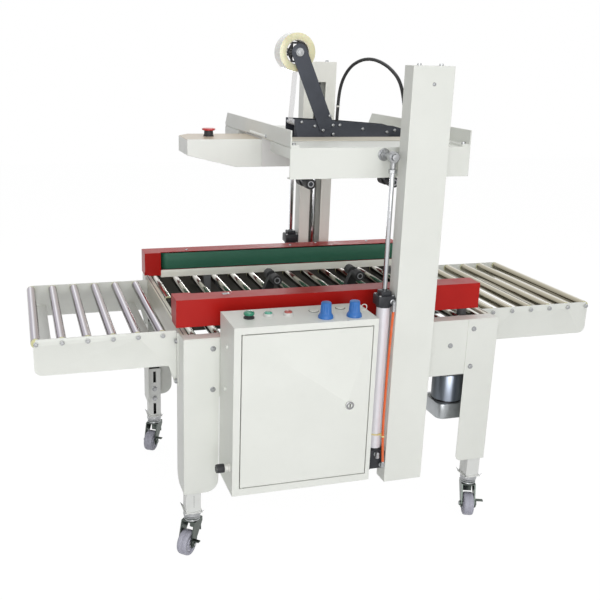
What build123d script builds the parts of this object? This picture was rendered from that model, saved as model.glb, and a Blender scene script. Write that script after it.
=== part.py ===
from build123d import *
import os
from math import acos, atan2, degrees, dist, pi, tan

os.makedirs("parts", exist_ok=True)

# Driving dimensions, in millimetres. X runs with the cartons, -Y is the operator's side.
# The origin is on the floor under the middle of the bed.
sheet = 3.0
bed_length = 1000.0
bed_width = 770.0
bed_top = 686.0
panel_height = 180.0
rail_width = 42.0
rail_lip = 46.0
conveyor_height = 684.0

# Rollers and the two roller tables
roller_dia = 28.0
roller_pitch = 71.0
axle_dia = 8.0
bed_end_gap = 3.0
table_roller_count = 6
table_width = 570.0
table_gap = 4.0
first_roller_gap = 41.0
table_end_margin = 8.0
plate_height = 108.0
plate_top = 683.0
plate_corner = 22.0
plate_bevel = 26.0
table_flange = 26.0
tab_drop = 56.0
tab_width = 24.0
tab_foot = 8.0
pin_gap = 0.3
roller_end_gap = 2.0

# Legs, their inner tubes and the casters
leg_width = 104.0
leg_bottom = 202.0
infeed_leg_corner = 38.0
outfeed_leg_corner = 20.0
tube_size = 45.0
tube_wall = 3.0
tube_bottom = 137.0
tube_top = 326.0
tube_gap = 8.0
slot_width = 10.0
slot_length = 44.0
slot_heights = (293.0, 165.0)
caster_plate = 54.0
caster_plate_thick = 4.0
bearing_dia = 48.0
bearing_height = 14.0
kingpin_dia = 12.0
wheel_dia = 76.0
wheel_width = 32.0
wheel_bevel = 4.0
caster_trail = 30.0
fork_sheet = 4.0
fork_clearance = 3.0
lever_reach = 24.0
swivel_gap = 0.3

# Centre channel and lower tape head
channel_width = 116.0
channel_depth = 80.0
head_gap = 12.0

# Cross slides that carry the two side belts
slide_shaft_dia = 20.0
slide_shaft_z = 590.0
slide_block = 40.0
slide_block_long = 62.0

# Side belts
belt_opening = 528.0
housing_depth = 66.0
housing_bottom = 705.0
housing_top = 786.0
housing_overhang = 10.0
housing_inset = 44.0
end_cap_length = 56.0
belt_height = 56.0
belt_bottom = 726.0
belt_thick = 3.0
belt_proud = 4.0
pulley_dia = 44.0
drive_shaft_dia = 16.0
motor_offset = 26.0
motor_dia = 102.0
motor_cap_size = 112.0
motor_cap_corner = 24.0
motor_bottom = 334.0
motor_cap_height = 52.0
gearbox_bottom = 452.0
gearbox_top = 502.0
gearbox_size = 96.0

# Columns and lift
column_share = 0.106
column_width = 124.0
column_depth = 54.0
column_gap = 25.0
column_bottom = 208.0
column_top = 1438.0
column_slot = 44.0
column_slot_bottom = 740.0
column_slot_top = 1366.0
guide_dia = 20.0
carriage_width = 70.0
carriage_depth = 38.0
carriage_height = 110.0
carriage_z = 1170.0
arm_width = 34.0
arm_height = 60.0

# Lifting head
head_left = -199.0
head_right = 354.0
head_side_gap = 17.0
head_bottom = 1127.0
head_top = 1213.0
deck_width = 183.0
deck_lip = 20.0
tray_width = 190.0
tray_flange = 200.0
nose_left = -430.0
nose_cut_x = 38.0
nose_cut_y = 55.0
nose_depth_left = 50.0
nose_knee_x = -280.0
cross_plate_height = 44.0

# Tape heads, measured from the surface that the carton passes
tape_head_left = -80.0
tape_head_length = 366.0
tape_head_height = 139.0
tape_head_width = 90.0
tape_roller_dia = 34.0
tape_roller_reach = 64.0
tape_roller_length = 104.0
tape_roller_slit = 28.0
tape_arm_thick = 24.0
lower_head_shift = -103.0

# Tape roll on its arm
roll_x = -72.0
roll_z = 1466.0
roll_radius = 58.0
core_radius = 38.0
roll_width = 60.0
arm_strip = 50.0
arm_foot_x = 29.0
arm_overlap = 30.0
hub_gap = 0.3
spindle_dia = 12.0

# Control cabinet
cabinet_leg_gap = 2.0
cabinet_cylinder_gap = 35.0
cabinet_depth = 155.0
cabinet_bottom = 267.0
cabinet_top = 763.0
cabinet_wall = 3.0
cabinet_frame = 12.0
door_side_rim = 23.0
door_lock_rim = 16.0
door_low_rim = 24.0
door_high_rim = 22.0
lock_inset = 58.0
door_gap = 3.0
door_thick = 10.0
door_rim = 9.0
hinge_pin_dia = 4.0
hinge_inset = 4.0
hinge_pin_length = 6.0

# Lift cylinders
cylinder_bottom = 252.0
cylinder_top = 799.0
barrel_dia = 40.0
block_width = 50.0
block_depth = 46.0
block_height = 30.0
gland_width = 32.0
gland_height = 13.0
foot_height = 62.0
rod_dia = 14.0
rod_gap = 0.5
rod_eye_z = 1193.0
rod_eye_dia = 32.0
pivot_dia = 12.0

# Values that follow from the ones above
half_bed = bed_length / 2
half_width = bed_width / 2
axle_z = conveyor_height - roller_dia / 2
half_table = table_width / 2
bed_roller_count = int((bed_length - 2 * bed_end_gap) / roller_pitch)
table_start = half_bed + table_gap
first_table_roller = half_bed + first_roller_gap
table_length = first_table_roller + (table_roller_count - 1) * roller_pitch + table_end_margin - table_start
rail_inner = half_width - sheet - rail_width
slide_shaft_x = (bed_roller_count / 2 - 3) * roller_pitch
housing_left = -half_bed - housing_overhang
housing_right = half_bed - housing_inset
drive_pulley_x = (bed_roller_count / 2 - 1) * roller_pitch
idler_pulley_x = -drive_pulley_x
motor_x = drive_pulley_x - motor_offset
column_x = column_share * bed_length
column_centre_x = column_x + column_width / 2
column_inner = half_width + column_gap
column_outer = column_inner + column_depth
guide_y = column_outer - column_depth / 2
cylinder_x = column_x - block_width / 2 - 1
cylinder_y = guide_y - 5
half_head = half_width - head_side_gap
cabinet_left = -half_bed + leg_width + cabinet_leg_gap
cabinet_right = cylinder_x - block_width / 2 - cabinet_cylinder_gap
cabinet_back = -half_width + sheet
cabinet_front = cabinet_back - cabinet_depth
door_left = cabinet_left + door_side_rim
door_right = cabinet_right - door_lock_rim
door_bottom = cabinet_bottom + door_low_rim
door_top = cabinet_top - door_high_rim
belt_face = belt_opening / 2 - belt_proud
pulley_y = belt_face + belt_thick + pulley_dia / 2
bed_roller_xs = [(i - (bed_roller_count - 1) / 2) * roller_pitch for i in range(bed_roller_count)]
table_roller_xs = [first_table_roller + i * roller_pitch for i in range(table_roller_count)]


def keep(piece, name):
    """Label a finished piece and write its file."""
    piece.part.label = name
    export_step(piece.part, "parts/" + name + ".step")


def cord_radii(points):
    """Bend radius at each inner point: 0.45 of the shorter run over the tangent of half the turn."""
    radii = []
    for a, b, c in zip(points, points[1:], points[2:]):
        before = dist(a, b)
        after = dist(b, c)
        along = sum((b[i] - a[i]) * (c[i] - b[i]) for i in range(3)) / (before * after)
        radii.append(0.45 * min(before, after) / tan(acos(along) / 2))
    return radii


# Bed side panels: folded channels whose inner lip carries the roller ends
panel_outer = half_width - sheet
with BuildPart() as panels:
    for side in (-1, 1):
        with BuildSketch(Plane.YZ.offset(-half_bed + sheet)):
            with BuildLine():
                Polyline(
                    (side * panel_outer, bed_top - panel_height),
                    (side * panel_outer, bed_top),
                    (side * rail_inner, bed_top),
                    (side * rail_inner, bed_top - rail_lip),
                    (side * (rail_inner + sheet), bed_top - rail_lip),
                    (side * (rail_inner + sheet), bed_top - sheet),
                    (side * (panel_outer - sheet), bed_top - sheet),
                    (side * (panel_outer - sheet), bed_top - panel_height + sheet),
                    (side * (panel_outer - 28), bed_top - panel_height + sheet),
                    (side * (panel_outer - 28), bed_top - panel_height),
                    close=True,
                )
            make_face()
        extrude(amount=bed_length - 2 * sheet)
        with Locations(*[(x, side * (rail_inner + sheet / 2), axle_z) for x in bed_roller_xs]):
            Cylinder(axle_dia / 2 + pin_gap, sheet * 3, rotation=(90, 0, 0), mode=Mode.SUBTRACT)
        shaft_xs = (-slide_shaft_x, slide_shaft_x)
        with Locations(*[(x, side * (panel_outer - sheet / 2), slide_shaft_z) for x in shaft_xs]):
            Cylinder(slide_shaft_dia / 2 + pin_gap, sheet * 3, rotation=(90, 0, 0), mode=Mode.SUBTRACT)
keep(panels, "side_panels")

# End members: channels between the side panels at both ends of the bed
member_length = 2 * (half_width - 2 * sheet)
member_flange = 19.0
member_height = 90.0
with BuildPart() as end_members:
    for end in (-1, 1):
        with BuildSketch(Plane.XZ.offset(-member_length / 2)):
            with BuildLine():
                Polyline(
                    (end * (half_bed - sheet), bed_top - member_height),
                    (end * (half_bed - sheet), bed_top),
                    (end * (half_bed - sheet - member_flange), bed_top),
                    (end * (half_bed - sheet - member_flange), bed_top - 12),
                    (end * (half_bed - 2 * sheet - member_flange + 6), bed_top - 12),
                    (end * (half_bed - 2 * sheet - member_flange + 6), bed_top - sheet),
                    (end * (half_bed - 2 * sheet), bed_top - sheet),
                    (end * (half_bed - 2 * sheet), bed_top - member_height),
                    close=True,
                )
            make_face()
        extrude(amount=member_length)
    with BuildSketch(Plane.XY.offset(bed_top)):
        for side in (-1, 1):
            with Locations((0, side * (half_width - sheet - rail_width / 2))):
                Rectangle(bed_length, rail_width + 2 * pin_gap)
    extrude(amount=-panel_height, mode=Mode.SUBTRACT)
keep(end_members, "end_members")

# Legs: folded angles, one at each corner of the bed
with BuildPart() as legs:
    for sx, leg_corner in ((-1, infeed_leg_corner), (1, outfeed_leg_corner)):
        for sy in (-1, 1):
            face_y = sy * half_width
            with BuildSketch(Plane.XZ.offset(-face_y)) as face:
                with Locations((sx * (half_bed - leg_width / 2), (leg_bottom + bed_top - 2) / 2)):
                    Rectangle(leg_width, bed_top - 2 - leg_bottom)
                fillet(face.vertices().group_by(Axis.Y)[0].sort_by(Axis.X)[0 if sx > 0 else -1], leg_corner)
            extrude(amount=sy * sheet)
            with BuildSketch(Plane.YZ.offset(sx * half_bed)) as flange:
                with Locations((sy * (half_width - leg_width / 2), (leg_bottom + bed_top - 2) / 2)):
                    Rectangle(leg_width, bed_top - 2 - leg_bottom)
                fillet(flange.vertices().group_by(Axis.Y)[0].sort_by(Axis.X)[0 if sy > 0 else -1], leg_corner)
            extrude(amount=-sx * sheet)
keep(legs, "legs")


# Leg tubes: height-adjusting inner tubes, clamped in the legs, with the caster plates
tube_x = half_bed - tube_gap - tube_size / 2
tube_y = half_width - tube_gap - tube_size / 2
pad = tube_gap - sheet
with BuildPart() as tubes:
    for sx in (-1, 1):
        for sy in (-1, 1):
            cx = sx * tube_x
            cy = sy * tube_y
            with BuildSketch(Plane.XY.offset(tube_bottom)):
                with Locations((cx, cy)):
                    Rectangle(tube_size, tube_size)
                    Rectangle(tube_size - 2 * tube_wall, tube_size - 2 * tube_wall, mode=Mode.SUBTRACT)
            extrude(amount=tube_top - tube_bottom)
            with Locations(*[(cx, cy - sy * (tube_size - tube_wall) / 2, z) for z in slot_heights]):
                Box(slot_width, tube_wall * 2, slot_length, mode=Mode.SUBTRACT)
            with Locations((cx + sx * (tube_size + pad) / 2, cy, tube_top - 50)):
                Box(pad, tube_size, 90)
            with Locations((cx, cy + sy * (tube_size + pad) / 2, tube_top - 50)):
                Box(tube_size, pad, 90)
            with Locations((cx, cy, tube_bottom - caster_plate_thick / 2)):
                Box(caster_plate, caster_plate, caster_plate_thick)
            with Locations((cx, cy, tube_bottom - caster_plate_thick)):
                Cylinder(bearing_dia / 2 + 2, bearing_height, align=(Align.CENTER, Align.CENTER, Align.MAX))
                Cylinder(
                    kingpin_dia / 2,
                    2 * bearing_height + 14,
                    align=(Align.CENTER, Align.CENTER, Align.MAX),
                )
keep(tubes, "leg_tubes")

# Casters: a swivel fork on the kingpin of each caster plate and a wheel on the fork's axle
race_top = tube_bottom - caster_plate_thick - bearing_height - swivel_gap
race_bottom = race_top - bearing_height
wheel_z = wheel_dia / 2
cheek_in = wheel_width / 2 + fork_clearance


def caster(sx, sy, trail_x, trail_y, end):
    """One caster: sx and sy give the corner, the trail points from the kingpin to the wheel."""
    long = (trail_x**2 + trail_y**2) ** 0.5
    ux = trail_x / long
    uy = trail_y / long
    side = Plane(origin=(sx * tube_x, sy * tube_y, 0), x_dir=(ux, uy, 0), z_dir=(uy, -ux, 0))
    top = Plane(origin=(sx * tube_x, sy * tube_y, 0), x_dir=(ux, uy, 0), z_dir=(0, 0, 1))
    with BuildPart() as fork:
        for flip in (-1, 1):
            with BuildSketch(side.offset(flip * (cheek_in + fork_sheet / 2) - fork_sheet / 2)) as cheek:
                with BuildLine():
                    Polyline(
                        (-bearing_dia / 2, race_bottom),
                        (bearing_dia / 2, race_bottom),
                        (caster_trail + 14, wheel_z + 4),
                        (caster_trail + 8, wheel_z - 12),
                        (caster_trail - 8, wheel_z - 12),
                        (caster_trail - 14, wheel_z + 4),
                        (-bearing_dia / 2, race_bottom - 14),
                        close=True,
                    )
                make_face()
            extrude(amount=fork_sheet)
        with BuildSketch(top.offset(race_bottom - fork_sheet)):
            Rectangle(bearing_dia, 2 * (cheek_in + fork_sheet))
        extrude(amount=fork_sheet)
        with BuildSketch(top.offset(race_bottom)):
            Circle(bearing_dia / 2)
        extrude(amount=bearing_height)
        with BuildSketch(top.offset(race_bottom - fork_sheet * 2)):
            Circle(kingpin_dia / 2 + pin_gap)
        extrude(amount=bearing_height + fork_sheet * 3, mode=Mode.SUBTRACT)
        with BuildSketch(side.offset(-cheek_in - fork_sheet - 5)):
            with Locations((caster_trail, wheel_z)):
                Circle(axle_dia / 2)
        extrude(amount=2 * (cheek_in + fork_sheet + 5))
        for flip in (-1, 1):
            with BuildSketch(side.offset(flip * (cheek_in + fork_sheet + 2.5) - 2.5)):
                with Locations((caster_trail, wheel_z)):
                    RegularPolygon(7.5, 6)
            extrude(amount=5)
        lever_foot = ((caster_trail - 7, wheel_z - 9), (caster_trail + 9, wheel_z - 9))
        lever_head = ((caster_trail + 14, wheel_z + 20), (caster_trail + 2, wheel_z + 20))
        lever_lip = ((caster_trail + 2, wheel_z + 17), (caster_trail + 14, wheel_z + 17))
        for outline, reach in ((lever_foot + lever_head, 3), (lever_lip + lever_head, lever_reach)):
            with BuildSketch(side.offset(-cheek_in - fork_sheet)):
                with BuildLine():
                    Polyline(*outline, close=True)
                make_face()
            extrude(amount=-reach)
    keep(fork, "caster_fork_" + end)
    with BuildPart() as wheel:
        with BuildSketch(side.offset(-wheel_width / 2)):
            with Locations((caster_trail, wheel_z)):
                Circle(wheel_dia / 2)
                Circle(axle_dia / 2 + pin_gap, mode=Mode.SUBTRACT)
        extrude(amount=wheel_width)
        chamfer(wheel.edges().filter_by(GeomType.CIRCLE).group_by(SortBy.RADIUS)[-1], wheel_bevel)
    keep(wheel, "caster_wheel_" + end)


caster(-1, -1, -0.66, -0.75, "front_infeed")
caster(1, -1, -0.35, -0.94, "front_outfeed")
caster(-1, 1, -0.54, -0.84, "back_infeed")
caster(1, 1, -0.5, -0.87, "back_outfeed")

# Roller tables at the infeed and the outfeed: two side plates on fixed axles and a tie bar
for end, name in ((-1, "infeed_table"), (1, "outfeed_table")):
    outer_x = table_start + table_length
    with BuildPart() as table:
        for side in (-1, 1):
            with BuildSketch(Plane.XZ.offset(-side * half_table)) as plate:
                with BuildLine():
                    Polyline(
                        (end * half_bed, plate_top - plate_height - tab_drop),
                        (end * (half_bed + tab_foot), plate_top - plate_height - tab_drop),
                        (end * (half_bed + tab_width), plate_top - plate_height),
                        (end * outer_x, plate_top - plate_height),
                        (end * outer_x, plate_top - plate_bevel),
                        (end * (outer_x - table_end_margin), plate_top),
                        (end * half_bed, plate_top),
                        close=True,
                    )
                make_face()
                low = plate.vertices().group_by(Axis.X)[0 if end < 0 else -1].sort_by(Axis.Y)[0]
                fillet(low, plate_corner)
            extrude(amount=side * sheet)
            with Locations(
                (
                    end * (half_bed + sheet / 2),
                    side * (half_table + table_flange / 2),
                    plate_top - (plate_height + tab_drop) / 2,
                )
            ):
                Box(sheet, table_flange, plate_height + tab_drop)
            with Locations(*[(end * x, side * (half_table + 2), axle_z) for x in table_roller_xs]):
                Cylinder(6.5, 4, rotation=(90, 0, 0))
        with Locations(*[(end * x, 0, axle_z) for x in table_roller_xs]):
            Cylinder(axle_dia / 2, table_width, rotation=(90, 0, 0))
        with Locations((end * (outer_x - 40), 0, plate_top - plate_height + 32)):
            Box(30, table_width, 12)
        with Locations((end * (half_bed + 60), 0, plate_top - plate_height + 22)):
            Box(30, table_width, 12)
    keep(table, name)

# Table rollers: each turns freely on its own axle
for end, word in ((-1, "infeed"), (1, "outfeed")):
    for i, x in enumerate(table_roller_xs):
        with BuildPart() as roller:
            with Locations((end * x, 0, axle_z)):
                Cylinder(roller_dia / 2, table_width - 2 * sheet - 2 * roller_end_gap, rotation=(90, 0, 0))
                Cylinder(axle_dia / 2 + pin_gap, table_width, rotation=(90, 0, 0), mode=Mode.SUBTRACT)
        keep(roller, word + "_roller_" + str(i + 1))

# Bed rollers: two rows between the side panels and the centre channel
row_inner = channel_width / 2
row_outer = rail_inner
with BuildPart() as bed_rollers:
    for side in (-1, 1):
        middle = side * (row_inner + row_outer) / 2
        with Locations(*[(x, middle, axle_z) for x in bed_roller_xs]):
            Cylinder(roller_dia / 2, row_outer - row_inner - 2 * roller_end_gap, rotation=(90, 0, 0))
            Cylinder(axle_dia / 2, row_outer - row_inner + 2 * sheet, rotation=(90, 0, 0))
keep(bed_rollers, "bed_rollers")

# Centre channel: two rails that carry the inner roller ends and frame the lower tape head
channel_long = 2 * (half_bed - 2 * sheet)
with BuildPart() as channel:
    for side in (-1, 1):
        with Locations((0, side * (channel_width / 2 - sheet / 2), conveyor_height - 4 - channel_depth / 2)):
            Box(channel_long, sheet, channel_depth)
        with Locations(
            (0, side * (channel_width / 2 - 6.5), conveyor_height - 4 - channel_depth + sheet / 2)
        ):
            Box(channel_long, 13, sheet)
    with Locations(*[(x, 0, axle_z) for x in bed_roller_xs]):
        Cylinder(axle_dia / 2 + pin_gap, channel_width * 2, rotation=(90, 0, 0), mode=Mode.SUBTRACT)
    for end in (-1, 1):
        with Locations((end * (half_bed - 2 * sheet - 10), 0, bed_top)):
            Box(26, channel_width + 20, 24, mode=Mode.SUBTRACT)
keep(channel, "centre_channel")

# Cross slides: two polished shafts between the side panels
with BuildPart() as shafts:
    with Locations(*[(x, 0, slide_shaft_z) for x in (-slide_shaft_x, slide_shaft_x)]):
        Cylinder(slide_shaft_dia / 2, 2 * (half_width - sheet), rotation=(90, 0, 0))
keep(shafts, "slide_shafts")

# Columns: closed steel boxes with a slot in the inner face, standing off the side panels
brace_depth = column_inner - (half_width - sheet)
with BuildPart() as columns:
    for side in (-1, 1):
        with Locations((column_centre_x, side * guide_y, (column_bottom + column_top) / 2)):
            Box(column_width, column_depth, column_top - column_bottom)
            Box(
                column_width - 2 * sheet,
                column_depth - 2 * sheet,
                column_top - column_bottom - 2 * sheet,
                mode=Mode.SUBTRACT,
            )
        with Locations((column_centre_x, side * column_inner, (column_slot_bottom + column_slot_top) / 2)):
            Box(column_slot, 4 * sheet, column_slot_top - column_slot_bottom, mode=Mode.SUBTRACT)
        for z in (bed_top - 40, bed_top - panel_height + 40):
            with Locations((column_centre_x, side * (column_inner - brace_depth / 2), z)):
                Box(column_width - 24, brace_depth, 40)
keep(columns, "lift_columns")

# Guide rods: one bright rod up the middle of each column
with BuildPart() as guides:
    for side in (-1, 1):
        with Locations((column_centre_x, side * guide_y, (column_bottom + column_top) / 2)):
            Cylinder(guide_dia / 2, column_top - column_bottom - 2 * sheet)
keep(guides, "guide_rods")

# Lift carriages: blocks that slide on the guide rods, with an arm out through the column's slot
with BuildPart() as carriages:
    for side in (-1, 1):
        with Locations((column_centre_x, side * guide_y, carriage_z)):
            Box(carriage_width, carriage_depth, carriage_height)
        arm_long = guide_y - half_head
        with Locations((column_centre_x, side * (half_head + arm_long / 2), carriage_z)):
            Box(arm_width, arm_long, arm_height)
        with Locations((column_centre_x, side * guide_y, carriage_z)):
            Cylinder(guide_dia / 2 + pin_gap, carriage_height + 2, mode=Mode.SUBTRACT)
keep(carriages, "lift_carriages")

# Lift cylinders: a foot block, a hollow barrel and a head block beside each column
barrel_bottom = cylinder_bottom + foot_height
barrel_top = cylinder_top - block_height
elbow_x = cylinder_x + 17
elbow_y = cylinder_y + block_depth / 2 + 10
elbow_dia = 12.0
head_port = cylinder_top - 17
foot_port = cylinder_bottom + 13
valve_port = cylinder_bottom + 50
with BuildPart() as cylinders:
    for side in (-1, 1):
        with Locations((cylinder_x, side * cylinder_y, cylinder_bottom + foot_height / 2)):
            Box(block_width, block_depth, foot_height)
        with Locations((cylinder_x, side * cylinder_y, cylinder_top - block_height / 2)):
            Box(block_width, block_depth, block_height)
        with Locations((cylinder_x, side * cylinder_y, cylinder_top + gland_height / 2)):
            Box(gland_width, gland_width, gland_height)
        with Locations((cylinder_x, side * cylinder_y, (barrel_bottom + barrel_top) / 2)):
            Cylinder(barrel_dia / 2, barrel_top - barrel_bottom)
        with Locations((cylinder_x, side * cylinder_y, barrel_bottom)):
            Cylinder(
                rod_dia / 2 + rod_gap,
                cylinder_top + gland_height - barrel_bottom + 1,
                align=(Align.CENTER, Align.CENTER, Align.MIN),
                mode=Mode.SUBTRACT,
            )
        for port_x, port_z in ((elbow_x, head_port), (elbow_x, foot_port), (cylinder_x - 2, valve_port)):
            with Locations((port_x, side * (elbow_y - 5), port_z)):
                Cylinder(elbow_dia / 2 - 1, 10, rotation=(90, 0, 0))
        for port_x, port_z in ((elbow_x, head_port - 12), (elbow_x, foot_port + 5), (cylinder_x - 2, valve_port)):
            with Locations((port_x, side * elbow_y, port_z)):
                Cylinder(elbow_dia / 2, 28 if port_z > barrel_top - 20 else 18)
        with Locations(
            (
                column_x - (column_x - cylinder_x - block_width / 2) / 2,
                side * guide_y,
                cylinder_top - block_height / 2,
            )
        ):
            Box(column_x - cylinder_x - block_width / 2, 40, block_height - 10)
        with Locations(
            (
                column_x - (column_x - cylinder_x - block_width / 2) / 2,
                side * guide_y,
                cylinder_bottom + foot_height / 2,
            )
        ):
            Box(column_x - cylinder_x - block_width / 2, 40, foot_height - 10)
keep(cylinders, "lift_cylinders")

# Lift rods: piston rods with an eye at the top on a pivot bolt from the head
rod_low = barrel_top - 110
with BuildPart() as rods:
    for side in (-1, 1):
        with Locations((cylinder_x, side * cylinder_y, (rod_low + rod_eye_z) / 2)):
            Cylinder(rod_dia / 2, rod_eye_z - rod_low)
        with Locations((cylinder_x, side * cylinder_y, rod_eye_z - rod_eye_dia / 2 - 6)):
            Cylinder(rod_dia / 2 + 1, 24)
        with BuildSketch(Plane.XY.offset(rod_eye_z - 45)):
            with Locations((cylinder_x, side * cylinder_y)):
                RegularPolygon(rod_dia / 2 + 5, 6)
        extrude(amount=12)
        with Locations((cylinder_x, side * cylinder_y, rod_eye_z)):
            Cylinder(rod_eye_dia / 2, 18, rotation=(90, 0, 0))
        with Locations((cylinder_x, side * (half_head + (cylinder_y + 16 - half_head) / 2), rod_eye_z)):
            Cylinder(pivot_dia / 2, cylinder_y + 16 - half_head, rotation=(90, 0, 0))
        with Locations((cylinder_x, side * (half_head + 1.5), rod_eye_z)):
            Cylinder(pivot_dia / 2 + 12, 3, rotation=(90, 0, 0))
        for far, corner, thick in ((half_head + 14, 14, 11), (cylinder_y + 16, 10, 7)):
            with BuildSketch(Plane.XZ.offset(-side * far)):
                with Locations((cylinder_x, rod_eye_z)):
                    RegularPolygon(corner, 6)
            extrude(amount=side * thick)
keep(rods, "lift_rods")

# Air hose: an orange hose straight down beside the front barrel, between its two elbows
hose_dia = 8.0
hose_top = head_port - 26
hose_low = foot_port + 14
hose_sway = (0.0, 1.5, -2.0, -6.0, -4.0, 0.0)
hose_points = [
    (elbow_x + sway, -elbow_y, hose_low + (hose_top - hose_low) * i / (len(hose_sway) - 1))
    for i, sway in enumerate(hose_sway)
]
with BuildPart() as hose:
    with BuildLine():
        hose_path = FilletPolyline(*hose_points, radius=cord_radii(hose_points))
    with BuildSketch(Plane(origin=hose_points[0], z_dir=hose_path % 0)):
        Circle(hose_dia / 2)
    sweep(path=hose_path)
keep(hose, "air_hose")

# Head beams: folded channels along both sides of the lifting head
head_centre = (head_left + head_right) / 2
head_long = head_right - head_left
with BuildPart() as beams:
    for side in (-1, 1):
        with BuildSketch(Plane.YZ.offset(head_left)):
            with BuildLine():
                Polyline(
                    (side * (half_head - 22), head_bottom),
                    (side * half_head, head_bottom),
                    (side * half_head, head_top),
                    (side * deck_width, head_top),
                    (side * deck_width, head_top - deck_lip),
                    (side * (deck_width + sheet), head_top - deck_lip),
                    (side * (deck_width + sheet), head_top - sheet),
                    (side * (half_head - sheet), head_top - sheet),
                    (side * (half_head - sheet), head_bottom + sheet),
                    (side * (half_head - 22), head_bottom + sheet),
                    close=True,
                )
            make_face()
        extrude(amount=head_long)
keep(beams, "head_beams")

# Head tray: the lighter centre section between the beams, open below for the tape head
tray_half = tray_width / 2
with BuildPart() as tray:
    with BuildSketch(Plane.YZ.offset(head_left)):
        for side in (-1, 1):
            with BuildLine():
                Polyline(
                    (side * (tray_half - sheet), head_bottom),
                    (side * (tray_half - sheet), head_top + sheet),
                    (side * tray_flange, head_top + sheet),
                    (side * tray_flange, head_top),
                    (side * tray_half, head_top),
                    (side * tray_half, head_bottom),
                    close=True,
                )
            make_face()
    extrude(amount=head_long)
    for x in (head_left + sheet / 2, head_right - sheet / 2):
        with Locations((x, 0, (head_bottom + head_top) / 2)):
            Box(sheet, tray_width, head_top - head_bottom)
keep(tray, "head_tray")

# Cross plates: upright angles across the top of the head, slanted at the back end
with BuildPart() as cross:
    for x, way in ((head_left + 2, 1), (head_right - 2, -1)):
        base = head_top + sheet
        with BuildSketch(Plane.YZ.offset(x - 2)):
            with BuildLine():
                Polyline(
                    (-half_head, base),
                    (half_head, base),
                    (half_head, base + 8),
                    (half_head - 28, base + cross_plate_height),
                    (-half_head, base + cross_plate_height),
                    close=True,
                )
            make_face()
        extrude(amount=4)
        with Locations((x + way * 12, 0, base + 2)):
            Box(24, 2 * half_head - 2, 4)
        for side in (-1, 1):
            span = half_head - tray_flange
            with Locations((x + way * 12, side * (tray_flange + span / 2), head_top + sheet / 2)):
                Box(24, span - 2, sheet)
    with Locations((head_left + 2, -38, head_top + sheet + 7)):
        Box(12, 180, 6, mode=Mode.SUBTRACT)
keep(cross, "cross_plates")

# Nose arm: a folded cover that reaches forward over the infeed, with its far front corner cut off
cut_run = (nose_cut_x**2 + nose_cut_y**2) ** 0.5
cut_in = (nose_cut_y / cut_run, -nose_cut_x / cut_run, 0)


def nose_shape(inset, drop):
    """The nose arm's outline, moved inward by the inset and opened downward by the drop."""
    with BuildPart() as shape:
        with BuildSketch(Plane.XZ.offset(-tray_half + inset)):
            with BuildLine():
                Polyline(
                    (nose_left + inset, head_top - 3 - inset),
                    (nose_left + inset, head_top - nose_depth_left - drop),
                    (nose_knee_x, head_bottom - drop),
                    (head_left - inset, head_bottom - drop),
                    (head_left - inset, head_top - 3 - inset),
                    close=True,
                )
            make_face()
        extrude(amount=tray_width - 2 * inset)
        corner = (nose_left + cut_in[0] * inset, tray_half - nose_cut_y + cut_in[1] * inset, 0)
        split(bisect_by=Plane(origin=corner, z_dir=cut_in), keep=Keep.TOP)
    return shape.part


with BuildPart() as nose:
    add(nose_shape(0, 0))
    add(nose_shape(sheet, 6), mode=Mode.SUBTRACT)
keep(nose, "nose_arm")

# Emergency stop: a mushroom button on a collar, on top of the nose arm
stop_base = head_top - 3
with BuildPart() as stop:
    with Locations((nose_left + 89, 12, stop_base)):
        Cylinder(14, 17, align=(Align.CENTER, Align.CENTER, Align.MIN))
        with Locations((0, 0, 14)):
            Cone(14, 20, 6, align=(Align.CENTER, Align.CENTER, Align.MIN))
        with Locations((0, 0, 20)):
            Cylinder(20, 7, align=(Align.CENTER, Align.CENTER, Align.MIN))
    fillet(stop.faces().sort_by(Axis.Z)[-1].edges(), 3)
keep(stop, "emergency_stop")

# Tape heads: the upper one hangs in the lifting head, the lower one stands in the bed
head_plate_y = tape_head_width / 2
roller_xs = (tape_head_left + 60, tape_head_left + 352)


def tape_head(name, surface, up, shift, bar_half):
    """Side plates, cross bars and roller arms of a tape head over or under a carton surface."""
    with BuildPart() as head:
        for side in (-1, 1):
            with BuildSketch(Plane.XZ.offset(-side * head_plate_y)):
                with BuildLine():
                    Polyline(
                        (shift + tape_head_left, surface + up * tape_head_height),
                        (shift + tape_head_left + 185, surface + up * (tape_head_height - 9)),
                        (shift + tape_head_left + 335, surface + up * (tape_head_height - 20)),
                        (shift + tape_head_left + tape_head_length, surface + up * (tape_head_height - 28)),
                        (shift + tape_head_left + tape_head_length, surface + up * 6),
                        (shift + tape_head_left, surface + up * 6),
                        close=True,
                    )
                make_face()
            extrude(amount=side * sheet)
        for x in roller_xs:
            with BuildSketch(Plane.XZ.offset(-tape_arm_thick / 2)):
                with BuildLine():
                    Polyline(
                        (shift + x - 52, surface + up * 30),
                        (shift + x - 52, surface + up * 78),
                        (shift + x - 28, surface + up * 78),
                        (shift + x + 9, surface - up * (tape_roller_reach - 6)),
                        (shift + x + 9, surface - up * (tape_roller_reach + 7)),
                        (shift + x - 9, surface - up * (tape_roller_reach + 7)),
                        (shift + x - 22, surface - up * (tape_roller_reach - 14)),
                        close=True,
                    )
                make_face()
            extrude(amount=tape_arm_thick)
            with Locations((shift + x, 0, surface - up * tape_roller_reach)):
                Cylinder(axle_dia / 2, tape_roller_length, rotation=(90, 0, 0))
        for x in (roller_xs[0] - 40, tape_head_left + 184, roller_xs[1] - 40):
            with Locations((shift + x, 0, surface + up * 70)):
                Cylinder(7, 2 * bar_half, rotation=(90, 0, 0))
        if up > 0:
            with Locations((65, -head_plate_y + sheet + 10, surface + 76)):
                Box(22, 20, 24)
    keep(head, name)


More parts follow.
